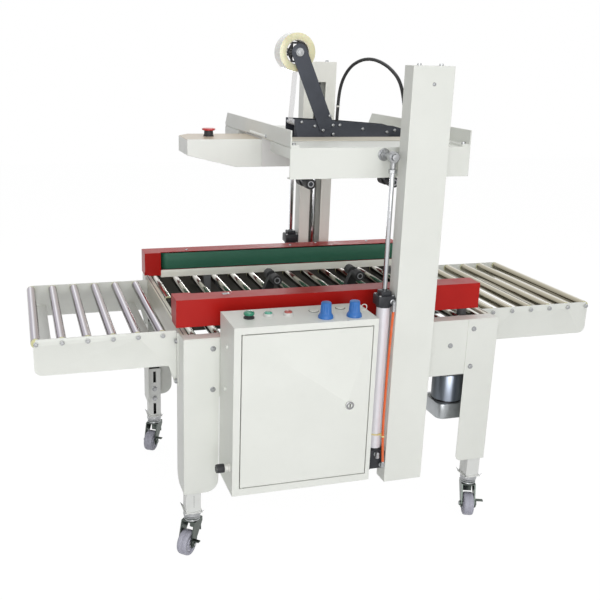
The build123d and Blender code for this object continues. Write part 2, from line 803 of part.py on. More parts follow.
tape_head("upper_tape_head", head_bottom, 1, 0, tray_half - sheet)
tape_head("lower_tape_head", bed_top, -1, lower_head_shift, channel_width / 2 - sheet)

# Tape rollers: black rubber press rollers on both sides of each arm, and a small guide roller where the web comes in
with BuildPart() as upper_rollers:
    with Locations(*[(x, 0, head_bottom - tape_roller_reach) for x in roller_xs]):
        Cylinder(tape_roller_dia / 2, tape_roller_length, rotation=(90, 0, 0))
        Box(2 * tape_roller_dia, tape_roller_slit, 2 * tape_roller_dia, mode=Mode.SUBTRACT)
        Cylinder(axle_dia / 2, tape_roller_length + 2, rotation=(90, 0, 0), mode=Mode.SUBTRACT)
    with Locations((tape_head_left + 10, 0, head_bottom + tape_head_height - 12)):
        Cylinder(9, 2 * (head_plate_y - sheet), rotation=(90, 0, 0))
keep(upper_rollers, "upper_tape_rollers")

with BuildPart() as lower_rollers:
    with Locations(*[(lower_head_shift + x, 0, bed_top + tape_roller_reach) for x in roller_xs]):
        Cylinder(tape_roller_dia / 2, tape_roller_length, rotation=(90, 0, 0))
        Box(2 * tape_roller_dia, tape_roller_slit, 2 * tape_roller_dia, mode=Mode.SUBTRACT)
        Cylinder(axle_dia / 2, tape_roller_length + 2, rotation=(90, 0, 0), mode=Mode.SUBTRACT)
keep(lower_rollers, "lower_tape_rollers")

# Tape arm: a black plate bolted to the side of the upper tape head, with the roll's spindle
arm_face = -head_plate_y
plate_top_z = head_bottom + tape_head_height
arm_foot_z = plate_top_z - arm_overlap
arm_run = dist((roll_x, roll_z), (arm_foot_x, arm_foot_z))
arm_lean = degrees(atan2(arm_foot_x - roll_x, roll_z - arm_foot_z))
with BuildPart() as tape_arm:
    with BuildSketch(Plane.XZ.offset(-arm_face)):
        with Locations((roll_x, roll_z)):
            Circle(arm_strip / 2)
        with Locations(((roll_x + arm_foot_x) / 2, (roll_z + arm_foot_z) / 2)):
            Rectangle(arm_strip, arm_run, rotation=arm_lean)
    extrude(amount=sheet)
    with Locations((roll_x, arm_face - sheet - 2, roll_z)):
        Cylinder(11, 4, rotation=(90, 0, 0))
    with Locations((roll_x, (arm_face - sheet + roll_width / 2 + 2) / 2, roll_z)):
        Cylinder(spindle_dia / 2, roll_width / 2 + 2 + sheet - arm_face, rotation=(90, 0, 0))
    with Locations((roll_x, (arm_face - roll_width / 2 - 1) / 2, roll_z)):
        Cylinder(12, -arm_face - roll_width / 2 - 1, rotation=(90, 0, 0))
    with Locations((roll_x, roll_width / 2 + 5, roll_z)):
        Cylinder(13, 8, rotation=(90, 0, 0))
keep(tape_arm, "tape_arm")

# Tape roll: clear tape wound on a hub that turns on the spindle
with BuildPart() as roll:
    with Locations((roll_x, 0, roll_z)):
        Cylinder(roll_radius, roll_width - 4, rotation=(90, 0, 0))
        Cylinder(core_radius, roll_width, rotation=(90, 0, 0))
        Cylinder(spindle_dia / 2 + hub_gap, roll_width + 2, rotation=(90, 0, 0), mode=Mode.SUBTRACT)
keep(roll, "tape_roll")

# Loop conduit: a black conduit that arches from the tape head to the front beam
conduit_dia = 10.0
conduit_points = [
    (65, -33, 1215),
    (65, -33, 1300),
    (66, -48, 1376),
    (76, -88, 1425),
    (88, -140, 1447),
    (99, -192, 1452),
    (110, -242, 1444),
    (122, -290, 1425),
    (133, -334, 1392),
    (142, -350, 1330),
    (146, -352, 1270),
    (146, -352, 1213),
]
with BuildPart() as conduit:
    with BuildLine():
        conduit_path = FilletPolyline(*conduit_points, radius=cord_radii(conduit_points))
    with BuildSketch(Plane(origin=conduit_points[0], z_dir=conduit_path % 0)):
        Circle(conduit_dia / 2)
    sweep(path=conduit_path)
keep(conduit, "loop_conduit")
print("conduit radii", [round(r, 1) for r in cord_radii(conduit_points)])
print("hose radii", [round(r, 1) for r in cord_radii(hose_points)])
print("conduit: section times length", pi * (conduit_dia / 2) ** 2 * conduit_path.length, conduit.part.volume)
print("hose: section times length", pi * (hose_dia / 2) ** 2 * hose_path.length, hose.part.volume)

# Side belts: each side has a red cover, an endless belt on two pulleys, a carriage and a motor
belt_mid = belt_bottom + belt_height / 2
block_x = housing_left + end_cap_length
for side, word in ((-1, "front"), (1, "back")):
    face_y = belt_opening / 2
    back_y = face_y + housing_depth
    centre_y = side * (face_y + back_y) / 2
    centre_x = (housing_left + housing_right) / 2
    long_x = housing_right - housing_left
    with BuildPart() as housing:
        with Locations((centre_x, centre_y, (housing_bottom + housing_top) / 2)):
            Box(long_x, housing_depth, housing_top - housing_bottom)
            Box(
                long_x - 2 * sheet,
                housing_depth - 2 * sheet,
                housing_top - housing_bottom - 2 * sheet,
                mode=Mode.SUBTRACT,
            )
        with Locations(((block_x + housing_right) / 2, side * face_y, belt_mid)):
            Box(housing_right - block_x, 4 * sheet, belt_height + 6, mode=Mode.SUBTRACT)
        with Locations((drive_pulley_x, side * pulley_y, housing_bottom)):
            Box(34, 34, 4 * sheet, mode=Mode.SUBTRACT)
        with Locations(*[(x, side * pulley_y, housing_bottom) for x in (-slide_shaft_x, slide_shaft_x)]):
            Box(26, 30, 4 * sheet, mode=Mode.SUBTRACT)
        with BuildSketch(Plane.XZ.offset(-side * face_y)):
            with BuildLine():
                Polyline(
                    (housing_left, housing_bottom + 14),
                    (housing_left, housing_top),
                    (block_x, housing_top),
                    (block_x, housing_bottom),
                    (housing_left + 14, housing_bottom),
                    close=True,
                )
            make_face()
        extrude(amount=side * 10)
        with Locations(((housing_left + block_x) / 2, side * (face_y - 2), belt_mid)):
            Box(end_cap_length - 2 * sheet, 10, belt_height + 4, mode=Mode.SUBTRACT)
    keep(housing, word + "_belt_housing")

    with BuildPart() as belt:
        with BuildSketch(Plane.XY.offset(belt_bottom)):
            with Locations(((drive_pulley_x + idler_pulley_x) / 2, side * pulley_y)):
                SlotOverall(
                    drive_pulley_x - idler_pulley_x + pulley_dia + 2 * belt_thick,
                    pulley_dia + 2 * belt_thick,
                )
                SlotOverall(drive_pulley_x - idler_pulley_x + pulley_dia, pulley_dia, mode=Mode.SUBTRACT)
        extrude(amount=belt_height)
    keep(belt, word + "_side_belt")

    with BuildPart() as pulleys:
        for x in (drive_pulley_x, idler_pulley_x):
            with Locations((x, side * pulley_y, belt_mid)):
                Cylinder(pulley_dia / 2, belt_height)
                Cylinder(drive_shaft_dia / 2, belt_height + 2, mode=Mode.SUBTRACT)
    keep(pulleys, word + "_belt_pulleys")

    with BuildPart() as carriage:
        with Locations((0, side * pulley_y, belt_mid)):
            Box(drive_pulley_x - idler_pulley_x - pulley_dia - 16, pulley_dia - 2 * sheet, belt_height - 16)
        for x in (-slide_shaft_x, slide_shaft_x):
            with Locations((x, side * pulley_y, (slide_shaft_z + belt_mid) / 2)):
                Box(26, 30, belt_mid - slide_shaft_z)
            with Locations((x, side * pulley_y, slide_shaft_z)):
                Box(slide_block, slide_block_long, slide_block)
                Cylinder(slide_shaft_dia / 2 + pin_gap, slide_block_long + 2, rotation=(90, 0, 0), mode=Mode.SUBTRACT)
        with Locations((idler_pulley_x, side * pulley_y, (housing_bottom + housing_top) / 2)):
            Cylinder(drive_shaft_dia / 2, housing_top - housing_bottom - 2 * sheet)
        with Locations((idler_pulley_x / 2 - 100, side * pulley_y, belt_bottom - 8)):
            Box(-idler_pulley_x - 200 + 40, 14, 6)
        with Locations((idler_pulley_x / 2 - 100, side * pulley_y, belt_bottom - 1)):
            Box(20, 14, 20)
    keep(carriage, word + "_belt_carriage")

    with BuildPart() as motor:
        with Locations((drive_pulley_x, side * pulley_y, gearbox_top)):
            Cylinder(15, housing_bottom - gearbox_top, align=(Align.CENTER, Align.CENTER, Align.MIN))
            Cylinder(
                drive_shaft_dia / 2,
                housing_top - sheet - gearbox_top,
                align=(Align.CENTER, Align.CENTER, Align.MIN),
            )
        with Locations((motor_x + 6, side * pulley_y, (gearbox_top + gearbox_bottom) / 2)):
            Box(gearbox_size, gearbox_size, gearbox_top - gearbox_bottom)
        with Locations((motor_x, side * pulley_y, motor_bottom)):
            Cylinder(
                motor_dia / 2,
                gearbox_bottom - motor_bottom,
                align=(Align.CENTER, Align.CENTER, Align.MIN),
            )
        with BuildSketch(Plane.XY.offset(motor_bottom)):
            with Locations((motor_x, side * pulley_y)):
                RectangleRounded(motor_cap_size, motor_cap_size, motor_cap_corner)
        extrude(amount=motor_cap_height)
    keep(motor, word + "_belt_motor")

# Control cabinet: a folded steel box whose front frame surrounds the door
cabinet_mid_x = (cabinet_left + cabinet_right) / 2
cabinet_mid_z = (cabinet_bottom + cabinet_top) / 2
door_mid_x = (door_left + door_right) / 2
door_mid_z = (door_bottom + door_top) / 2
pin_x = door_left + hinge_inset
pin_y = cabinet_front + hinge_inset
gland_y = cabinet_front + 32
gland_z = cabinet_bottom + 75
gland_run = 38.0
lock_z = door_mid_z - 5
with BuildPart() as cabinet:
    with Locations((cabinet_mid_x, (cabinet_front + cabinet_back) / 2, cabinet_mid_z)):
        Box(cabinet_right - cabinet_left, cabinet_back - cabinet_front, cabinet_top - cabinet_bottom)
    inner_front = cabinet_front + cabinet_frame
    inner_back = cabinet_back - cabinet_wall
    with Locations((cabinet_mid_x, (inner_front + inner_back) / 2, cabinet_mid_z)):
        Box(
            cabinet_right - cabinet_left - 2 * cabinet_wall,
            inner_back - inner_front,
            cabinet_top - cabinet_bottom - 2 * cabinet_wall,
            mode=Mode.SUBTRACT,
        )
    with Locations((door_mid_x, cabinet_front, door_mid_z)):
        Box(
            door_right - door_left + 2 * door_gap,
            2 * cabinet_frame + 2,
            door_top - door_bottom + 2 * door_gap,
            mode=Mode.SUBTRACT,
        )
    for z, way in ((door_bottom - door_gap, 1), (door_top + door_gap, -1)):
        with Locations((pin_x, pin_y, z + way * hinge_pin_length / 2)):
            Cylinder(hinge_pin_dia / 2, hinge_pin_length)
    with Locations((cabinet_left - gland_run / 2, gland_y, gland_z)):
        Cylinder(9, gland_run, rotation=(0, 90, 0))
    with Locations((cabinet_left - gland_run + 11, gland_y, gland_z)):
        Cylinder(12, 22, rotation=(0, 90, 0))
    with Locations((cabinet_left - gland_run / 2 + 2, gland_y, gland_z)):
        Cylinder(5, gland_run + 8, rotation=(0, 90, 0), mode=Mode.SUBTRACT)
keep(cabinet, "control_cabinet")

# Cabinet door: a flat leaf on two hidden pins at the left, with a round lock at the right
with BuildPart() as door:
    with Locations((door_mid_x, cabinet_front + door_thick / 2, door_mid_z)):
        Box(door_right - door_left, door_thick, door_top - door_bottom)
    with Locations((door_mid_x, cabinet_front + door_thick - 3, door_mid_z)):
        Box(
            door_right - door_left - 2 * door_rim,
            10,
            door_top - door_bottom - 2 * door_rim,
            mode=Mode.SUBTRACT,
        )
    with Locations((door_mid_x, cabinet_front + 1.0, door_mid_z)):
        Box(door_right - door_left, 2.0, door_top - door_bottom)
    for z in (door_bottom, door_top):
        with Locations((pin_x, pin_y, z)):
            Cylinder(hinge_pin_dia / 2 + pin_gap, 2 * hinge_pin_length, mode=Mode.SUBTRACT)
    with Locations((door_right - lock_inset, cabinet_front - 2.5, lock_z)):
        Cylinder(13, 5, rotation=(90, 0, 0))
    with Locations((door_right - lock_inset, cabinet_front + 12, lock_z)):
        Cylinder(9, 24, rotation=(90, 0, 0))
keep(door, "cabinet_door")

# Cabinet controls: start button, two lamps, two blank plugs and two pressure regulators on top


def on_top(along, across):
    """A place on the cabinet's top, as shares of its width and of its depth from the front."""
    return (
        cabinet_left + along * (cabinet_right - cabinet_left),
        cabinet_front + across * cabinet_depth,
        cabinet_top,
    )


up_from = (Align.CENTER, Align.CENTER, Align.MIN)
with BuildPart() as controls:
    with Locations(on_top(0.150, 0.516)):
        Cylinder(12, 12, align=up_from)
        with Locations((0, 0, 10)):
            Cylinder(15.5, 10, align=up_from)
    with Locations(on_top(0.287, 0.555), on_top(0.425, 0.535)):
        Cylinder(14.5, 7, align=up_from)
        Cylinder(11.5, 12, align=up_from)
    with Locations(on_top(0.626, 0.671), on_top(0.831, 0.748)):
        Cylinder(13, 5, align=up_from)
    with Locations(on_top(0.655, 0.258), on_top(0.855, 0.232)):
        Cone(21.5, 16, 16, align=up_from)
        Cylinder(14.5, 45, align=up_from)
keep(controls, "cabinet_controls")
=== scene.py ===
import bpy
import bmesh
import math
import numpy as np
from mathutils import Matrix, Vector


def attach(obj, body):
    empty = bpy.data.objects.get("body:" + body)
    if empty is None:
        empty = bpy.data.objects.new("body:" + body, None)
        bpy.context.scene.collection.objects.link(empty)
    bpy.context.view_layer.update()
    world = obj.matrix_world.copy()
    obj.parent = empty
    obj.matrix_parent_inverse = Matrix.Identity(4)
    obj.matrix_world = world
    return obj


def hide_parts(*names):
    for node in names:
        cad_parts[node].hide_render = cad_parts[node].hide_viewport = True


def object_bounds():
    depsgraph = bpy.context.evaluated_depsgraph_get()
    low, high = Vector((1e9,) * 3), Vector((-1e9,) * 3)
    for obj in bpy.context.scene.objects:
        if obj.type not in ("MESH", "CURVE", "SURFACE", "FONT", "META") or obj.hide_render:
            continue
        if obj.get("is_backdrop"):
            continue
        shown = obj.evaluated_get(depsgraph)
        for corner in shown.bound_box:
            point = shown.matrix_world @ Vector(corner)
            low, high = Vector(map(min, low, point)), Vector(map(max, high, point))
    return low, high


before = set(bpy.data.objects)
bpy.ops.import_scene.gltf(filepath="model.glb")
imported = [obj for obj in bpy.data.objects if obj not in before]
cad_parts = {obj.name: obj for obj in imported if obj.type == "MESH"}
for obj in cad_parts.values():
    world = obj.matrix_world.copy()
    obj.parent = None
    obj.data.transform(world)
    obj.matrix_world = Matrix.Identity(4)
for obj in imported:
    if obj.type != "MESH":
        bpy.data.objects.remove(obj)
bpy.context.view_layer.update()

# The camera that took the view, solved from the machine's own sizes: a normal lens at the height
# of the tape roll, on the operator's side, looking along the bed towards the outfeed.
yaw, pitch, roll = math.radians(16.7), math.radians(16.38), math.radians(1.4)
camera_place = Vector((-0.9184, -2.5189, 1.45))
ahead = Vector((math.sin(yaw) * math.cos(pitch), math.cos(yaw) * math.cos(pitch), -math.sin(pitch)))
level = Vector((math.cos(yaw), -math.sin(yaw), 0.0))
above = level.cross(ahead)
across = math.cos(roll) * level + math.sin(roll) * above
upward = -math.sin(roll) * level + math.cos(roll) * above
camera_data = bpy.data.cameras.new("view_camera")
camera_data.sensor_width = 36.0
camera_data.lens = 49.31
camera_data.shift_x = 0.0655
camera_data.shift_y = -0.0027
camera_data.clip_end = 60.0
camera = bpy.data.objects.new("view_camera", camera_data)
bpy.context.collection.objects.link(camera)
turn = Matrix((across, upward, -ahead)).transposed().to_4x4()
camera.matrix_world = Matrix.Translation(camera_place) @ turn
bpy.context.scene.camera = camera
bpy.context.scene.view_settings.view_transform = "Standard"


# Loop conduit: a black conduit that arches from a gland on the upper tape head to the
# front beam of the lifting head, where it goes in beside the column. Extruded plastic, 10 mm.
def math_step(operation, flipped=False):
    """A method that feeds its value and any others to one Math node, in this order or flipped."""
    def step(self, *others):
        terms = (*others, self) if flipped else (self, *others)
        return self.node("ShaderNodeMath", {"operation": operation}, dict(enumerate(terms)))
    return step


class Wire:
    """A shader value or colour on its way through a node tree; arithmetic on it adds Math nodes.

    wrap(high, low) folds the value round into low..high."""

    __add__ = math_step("ADD")
    __radd__ = math_step("ADD", flipped=True)
    __sub__ = math_step("SUBTRACT")
    __rsub__ = math_step("SUBTRACT", flipped=True)
    __mul__ = math_step("MULTIPLY")
    __rmul__ = math_step("MULTIPLY", flipped=True)
    __truediv__ = math_step("DIVIDE")
    __rtruediv__ = math_step("DIVIDE", flipped=True)
    __lt__ = math_step("LESS_THAN")
    __gt__ = math_step("GREATER_THAN")
    sine = math_step("SINE")
    size = math_step("ABSOLUTE")
    wrap = math_step("WRAP")

    def __init__(self, tree, socket):
        self.tree = tree
        self.socket = socket

    def node(self, kind, settings=None, inputs=None, out=0):
        """Adds a node: its settings are set first, then the values or links of its sockets."""
        made = self.tree.nodes.new(kind)
        for key, value in (settings or {}).items():
            if key == "ramp":
                while len(made.color_ramp.elements) < len(value):
                    made.color_ramp.elements.new(0.5)
                for stop, (place, colour) in zip(made.color_ramp.elements, value):
                    stop.position = place
                    stop.color = (*colour, 1.0)
            else:
                setattr(made, key, value)
        for key, value in (inputs or {}).items():
            socket = made.inputs[key]
            if isinstance(value, Wire):
                self.tree.links.new(value.socket, socket)
            else:
                socket.default_value = (*value, 1.0) if socket.type == "RGBA" else value
        return Wire(self.tree, made.outputs[out])

    def span(self, low, high, to_low=0.0, to_high=1.0):
        """Maps low..high smoothly onto to_low..to_high and stops at both ends."""
        ends = {0: self, 1: low, 2: high, 3: to_low, 4: to_high}
        return self.node("ShaderNodeMapRange", {"interpolation_type": "SMOOTHSTEP"}, ends)

    def mix(self, first, second):
        """A colour that goes from first to second as this value goes from 0 to 1."""
        ends = {0: self, 6: first, 7: second}
        return self.node("ShaderNodeMix", {"data_type": "RGBA"}, ends, out=2)

    def ramp(self, *stops):
        """The colour that this value meets on a row of (place from 0 to 1, colour)."""
        return self.node("ShaderNodeValToRGB", {"ramp": stops}, {"Fac": self})

    def part(self, axis):
        """One component of a vector."""
        return self.node("ShaderNodeSeparateXYZ", None, {0: self}, out="XYZ".index(axis))

    def noise(self, grain, detail=3.0, rough=0.55):
        """Fractal noise of this place in space, about 0.5, with its grain given per metre."""
        inputs = {"Vector": self, "Scale": grain, "Detail": detail, "Roughness": rough}
        return self.node("ShaderNodeTexNoise", None, inputs)

    def stretched(self, x, y, z):
        """The same place with each axis multiplied, so that a noise is drawn out along one."""
        return self.node("ShaderNodeMapping", None, {"Vector": self, "Scale": (x, y, z)})

    def bump(self, depth, strength=1.0):
        """A normal from this height, whose full step is depth metres."""
        return self.node("ShaderNodeBump", None, {"Height": self, "Distance": depth, "Strength": strength})


def finish_of(name, colour, roughness=0.5, metallic=0.0, normal=None, **fixed):
    """A material: one Principled shader whose colour, roughness, metallic and normal may vary.

    What varies is a function that gets the place on the object as a Wire and gives a Wire."""
    material = bpy.data.materials.new(name)
    material.use_nodes = True
    tree = material.node_tree
    shader = tree.nodes["Principled BSDF"]
    place = Wire(tree, tree.nodes.new("ShaderNodeTexCoord").outputs["Object"])
    sockets = {"Base Color": colour, "Roughness": roughness, "Metallic": metallic, "Normal": normal}
    for key, value in sockets.items():
        if callable(value):
            tree.links.new(value(place).socket, shader.inputs[key])
        elif value is not None:
            shader.inputs[key].default_value = value
    for key, value in fixed.items():
        shader.inputs[key.replace("_", " ")].default_value = value
    return material


def mottled(name, first, second, grain, rough=0.4, metallic=0.0, relief=None, detail=3.0, **fixed):
    """A finish that drifts between two tones in noise of this grain.

    rough is one value, or (grain, low, high) of its own noise; relief is (grain, depth in metres)."""
    def tone(p):
        return p.noise(grain, detail).mix(first, second)

    def gloss(p):
        return p.noise(rough[0]).span(0.3, 0.7, *rough[1:])

    def height(p):
        return p.noise(relief[0]).bump(relief[1])
    return finish_of(name, tone, gloss if isinstance(rough, tuple) else rough, metallic,
                     height if relief else None, **fixed)


def placed(name, data, material, body, node=None):
    """An object of this mesh or curve in one finish, on a body, in the place of a CAD node if named."""
    made = bpy.data.objects.new(name, data)
    bpy.context.collection.objects.link(made)
    data.materials.append(material)
    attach(made, body)
    if node:
        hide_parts(node)
    return made


def cord_curve(name, points, diameter, material, body, node):
    """One smooth NURBS spline of degree 2 through a cord's own route, with a round bevel."""
    curve = bpy.data.curves.new(name, "CURVE")
    curve.dimensions = "3D"
    curve.bevel_depth = diameter / 2
    curve.bevel_resolution = 5
    curve.use_fill_caps = True
    curve.resolution_u = 12
    spline = curve.splines.new("NURBS")
    spline.points.add(len(points) - 1)
    for point, place in zip(spline.points, points):
        point.co = (*place, 1.0)
    spline.order_u = 3
    spline.use_endpoint_u = True
    return placed(name, curve, material, body, node)


conduit_black = mottled(
    "conduit_black", (0.018, 0.018, 0.02), (0.04, 0.04, 0.042), 60, (300, 0.34, 0.5), relief=(900, 0.0003),
    Specular_IOR_Level=0.3)
conduit_width = 0.01
conduit_route = [
    (0.065, -0.033, 1.215), (0.065, -0.033, 1.3), (0.066, -0.048, 1.376), (0.076, -0.088, 1.425),
    (0.088, -0.14, 1.447), (0.099, -0.192, 1.452), (0.11, -0.242, 1.444), (0.122, -0.29, 1.425),
    (0.133, -0.334, 1.392), (0.142, -0.35, 1.33), (0.146, -0.352, 1.27), (0.146, -0.352, 1.213)]
conduit = cord_curve("conduit_loop", conduit_route, conduit_width, conduit_black, "lifting_head",
                     "loop_conduit")

# Air hose: an 8 mm orange polyurethane hose that runs straight down beside the front lift
# cylinder, from the push-in elbow of its head block to the one of its foot block.
hose_orange = mottled(
    "hose_orange", (0.76, 0.105, 0.016), (0.84, 0.15, 0.03), 25, 0.22, relief=(500, 0.0002),
    Coat_Weight=0.4, Subsurface_Weight=0.05)
hose_width, hose_x, hose_y = 0.008, 0.097, -0.465
hose_foot, hose_step = 0.279, 0.0954
hose_sways = (0.0, -0.007, -0.007, -0.006, -0.004, 0.0)
hose_route = [(hose_x + sway, hose_y, hose_foot + hose_step * n) for n, sway in enumerate(hose_sways)]
hose = cord_curve("hose", hose_route, hose_width, hose_orange, "machine_frame", "air_hose")

# Bed side panels and end members: cold-rolled sheet folded into channels, powder-coated off-white
# in a fine orange peel. The panels' flanges carry the roller ends; the end members have yellowed.
half_bed, half_width, sheet = 0.5, 0.382, 0.003
fold_angle = 32.0


def shade_smooth(mesh, angle):
    """Smooth shading, with a crease where two faces meet at more than this angle in degrees."""
    mesh.polygons.foreach_set("use_smooth", np.ones(len(mesh.polygons), bool))
    mesh.set_sharp_from_angle(angle=math.radians(angle))


def softened(name, node, material, body, bend=0.0012, rounds=2, cut=False):
    """A copy of a CAD node's plates, with corners merged, flats cleared and every fold rounded.

    With cut, the flats are first cut into triangles, which keeps the hollow ends of channels open."""
    shaped = bmesh.new()
    shaped.from_mesh(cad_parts[node].data)
    bmesh.ops.remove_doubles(shaped, verts=shaped.verts, dist=2e-5)
    bmesh.ops.dissolve_limit(shaped, angle_limit=math.radians(1.0), verts=shaped.verts, edges=shaped.edges)
    if cut:
        bmesh.ops.triangulate(shaped, faces=shaped.faces[:])
    mesh = bpy.data.meshes.new(name)
    shaped.to_mesh(mesh)
    shaped.free()
    shade_smooth(mesh, fold_angle)
    edge = placed(name, mesh, material, body, node).modifiers.new("bend", "BEVEL")
    edge.width = bend
    edge.segments = rounds
    edge.limit_method = "ANGLE"
    edge.angle_limit = math.radians(fold_angle)
    edge.harden_normals = False
    edge.use_clamp_overlap = True


def powder(name, colour, shade, rough=0.36, dust=0.0, other=None, gloss=0.5):
    """Powder coat: a slow drift between two tones, a fine orange peel and slightly uneven gloss.

    other(place) gives where a second tone lies, from 0 to 1, and that tone."""
    def tone(p):
        drift = p.noise(6, 3).span(0.35, 0.65)
        smudge = p.noise(30, 4, 0.6).span(0.52, 0.78, 0.0, dust)
        coat = smudge.mix(drift.mix(colour, shade), tuple(0.8 * c for c in shade))
        if other is None:
            return coat
        where, second = other(p)
        return where.mix(coat, second)
    return finish_of(
        name, tone, lambda p: p.noise(14, 3).span(0.3, 0.7, rough - 0.02, rough + 0.04),
        normal=lambda p: p.noise(420, 2).bump(0.00008, 0.5), Specular_IOR_Level=gloss)


def gathered(shapes):
    """Several (corners, faces) as one: each one's face numbers are shifted by the corners before."""
    verts, faces, count = [], [], 0
    for corner, face in shapes:
        verts.append(np.asarray(corner, float))
        faces += [[int(n) + count for n in one] for one in face]
        count += len(corner)
    return np.concatenate(verts), faces


def piece_of(name, shapes, material, body, sharp=35.0, node=None):
    """One mesh object of several (corners, faces), with its faces turned outwards, on a body."""
    verts, faces = gathered(shapes)
    mesh = bpy.data.meshes.new(name)
    mesh.from_pydata(verts.tolist(), [], faces)
    mesh.validate()
    shaped = bmesh.new()
    shaped.from_mesh(mesh)
    bmesh.ops.recalc_face_normals(shaped, faces=shaped.faces)
    shaped.to_mesh(mesh)
    shaped.free()
    shade_smooth(mesh, sharp)
    placed(name, mesh, material, body, node)


def block(xs, ys, zs, edge=0.002):
    """A rectangular block between two values on each axis, with its edges rounded in two steps."""
    low, high = np.sort(np.array((xs, ys, zs), float), axis=1).T
    shaped = bmesh.new()
    centre, sides = Vector((low + high) / 2), Vector(high - low)
    bmesh.ops.create_cube(shaped, size=1.0, matrix=Matrix.LocRotScale(centre, None, sides))
    if edge > 0:
        bmesh.ops.bevel(shaped, geom=shaped.edges[:], offset=edge, segments=2, profile=0.5, affect="EDGES")
    verts = np.array([v.co for v in shaped.verts])
    shaped.verts.index_update()
    faces = [[v.index for v in face.verts] for face in shaped.faces]
    shaped.free()
    return verts, faces


def bed_inside_painted_shade(p):
    """The panels' inner faces below the flange, darkened by a painted shade for the bed's shadowed inside.
    """
    return (p.part("Y").size() < 0.3805) * (p.part("Z") < 0.682), (0.055, 0.053, 0.042)


coat_tones = (0.785, 0.8, 0.755), (0.765, 0.78, 0.735)
off_white = powder("off_white_powder", *coat_tones, dust=0.06)
# The bed panels' paint carries a painted shade on the inner faces below the flange.
panel_white_painted_shade_inside = powder("bed_panel_powder", *coat_tones, other=bed_inside_painted_shade)
cream_rail = powder("cream_rail_powder", (0.76, 0.735, 0.635), (0.73, 0.7, 0.59), 0.3)
softened("bed_side_plates", "side_panels", panel_white_painted_shade_inside, "machine_frame", 0.0018, 3)
softened("bed_end_channels", "end_members", cream_rail, "machine_frame")
# Painted shadow: a thin dark strip along each end member's top, for the shade in the gap beside it.
seam_painted_shadow = mottled("seam_painted_shadow", (0.05, 0.05, 0.045), (0.1, 0.095, 0.085), 150, 0.6)
painted_shadow_gaps = [block((end * 0.4917, end * 0.4893), (-0.335, 0.335), (0.6859, 0.6863), 0) for end in (-1, 1)]
piece_of("end_rail_painted_shadows", painted_shadow_gaps, seam_painted_shadow, "machine_frame")


# Legs: 3 mm sheet folded to angles at the corners of the bed, with a rounded lower corner, hung on
# the side panels by two bolts on each face. Inside each hangs a square tube that sets the height.
def turned(profile, foot, axis, steps=40, ring=False):
    """A turned surface: each (radius, height) of the profile goes round the axis in equal steps.

    point = foot + height * axis + radius * (cos angle * side + sin angle * other side). A ring's
    profile joins its own start, and any other is closed by a flat face at each end."""
    axis = np.asarray(axis, float)
    axis = axis / np.linalg.norm(axis)
    side = np.cross(axis, (0.0, 0.0, 1.0) if abs(axis[2]) < 0.9 else (1.0, 0.0, 0.0))
    side = side / np.linalg.norm(side)
    profile = np.asarray(profile, float)
    angle = np.arange(steps) * 2 * np.pi / steps
    around = np.cos(angle)[:, None] * side + np.sin(angle)[:, None] * np.cross(axis, side)
    grid = np.asarray(foot, float) + profile[:, 1, None, None] * axis + profile[:, 0, None, None] * around
    rows = len(profile)
    i = np.arange(rows if ring else rows - 1)[:, None]
    j = np.arange(steps)[None, :]
    k = (j + 1) % steps
    low, high = i * steps, (i + 1) % rows * steps
    faces = np.stack([low + j, low + k, high + k, high + j], -1).reshape(-1, 4).tolist()
    if not ring and profile[0, 0] > 1e-6:
        faces.append(list(range(steps))[::-1])
    if not ring and profile[-1, 0] > 1e-6:
        faces.append(list(range((rows - 1) * steps, rows * steps)))
    return grid.reshape(-1, 3), faces


def rounded_disc(radius, height, edge):
    """Half section of a disc whose top edge is an arc, from its axis to its axis."""
    turn = np.linspace(0, np.pi / 2, 4)
    top = [(radius - edge + edge * np.cos(a), height - edge + edge * np.sin(a)) for a in turn]
    return [(0.0, 0.0), (radius, 0.0)] + top + [(0.0, height)]


def bolt(place, axis, size):
    """A hexagon head on a washer: a turned disc of 20 steps and one of 6 with a domed end."""
    rise = 0.0016
    r = size * 0.88
    head = [(0, rise), (r, rise), (r, rise + size * 0.52), (r * 0.82, rise + size * 0.64),
            (0, rise + size * 0.66)]
    washer = turned(rounded_disc(size * 1.05, rise, 0.0004), place, axis, 20)
    return gathered([washer, turned(head, place, axis, 6)])


zinc_bright = mottled("zinc_fastener", (0.44, 0.445, 0.45), (0.3, 0.31, 0.32), 160, (320, 0.26, 0.42), 1.0)


def fasteners(name, heads, body="machine_frame"):
    """Bolts, nuts and screws of one body as one zinc-plated piece."""
    piece_of(name, heads, zinc_bright, body, sharp=28)


softened("leg_angles", "legs", off_white, "machine_frame", 0.0018, 3)
frame_head = 0.0077
frame_bolts = []
for end in (-1, 1):
    for side in (-1, 1):
        for z in (0.655, 0.531):
            frame_bolts += [bolt((end * 0.415, side * (half_width + sheet), z), (0, side, 0), frame_head),
                            bolt((end * (half_bed + sheet), side * 0.299, z), (end, 0, 0), frame_head)]
        frame_bolts.append(bolt((end * 0.34, side * half_width, 0.604), (0, side, 0), frame_head))
fasteners("frame_bolts", frame_bolts)
tube_x, tube_y, half_tube, half_plate = 0.4695, 0.3545, 0.0225, 0.027
tube_wall_inside, plate_low, plate_thick = 0.02, 0.1371, 0.0016


def tube_tone(p):
    """Grey-white outside, and a painted shade, near black, on the inner walls seen through the tubes'
    slots.
    """
    off_x = (p.part("X").size() - tube_x).size()
    off_y = (p.part("Y").size() - tube_y).size()
    painted_inside_shade = (off_x < tube_wall_inside) * (off_y < tube_wall_inside)
    return painted_inside_shade.mix(p.noise(40, 3).mix((0.74, 0.75, 0.73), (0.68, 0.69, 0.67)), (0.045, 0.045, 0.045))


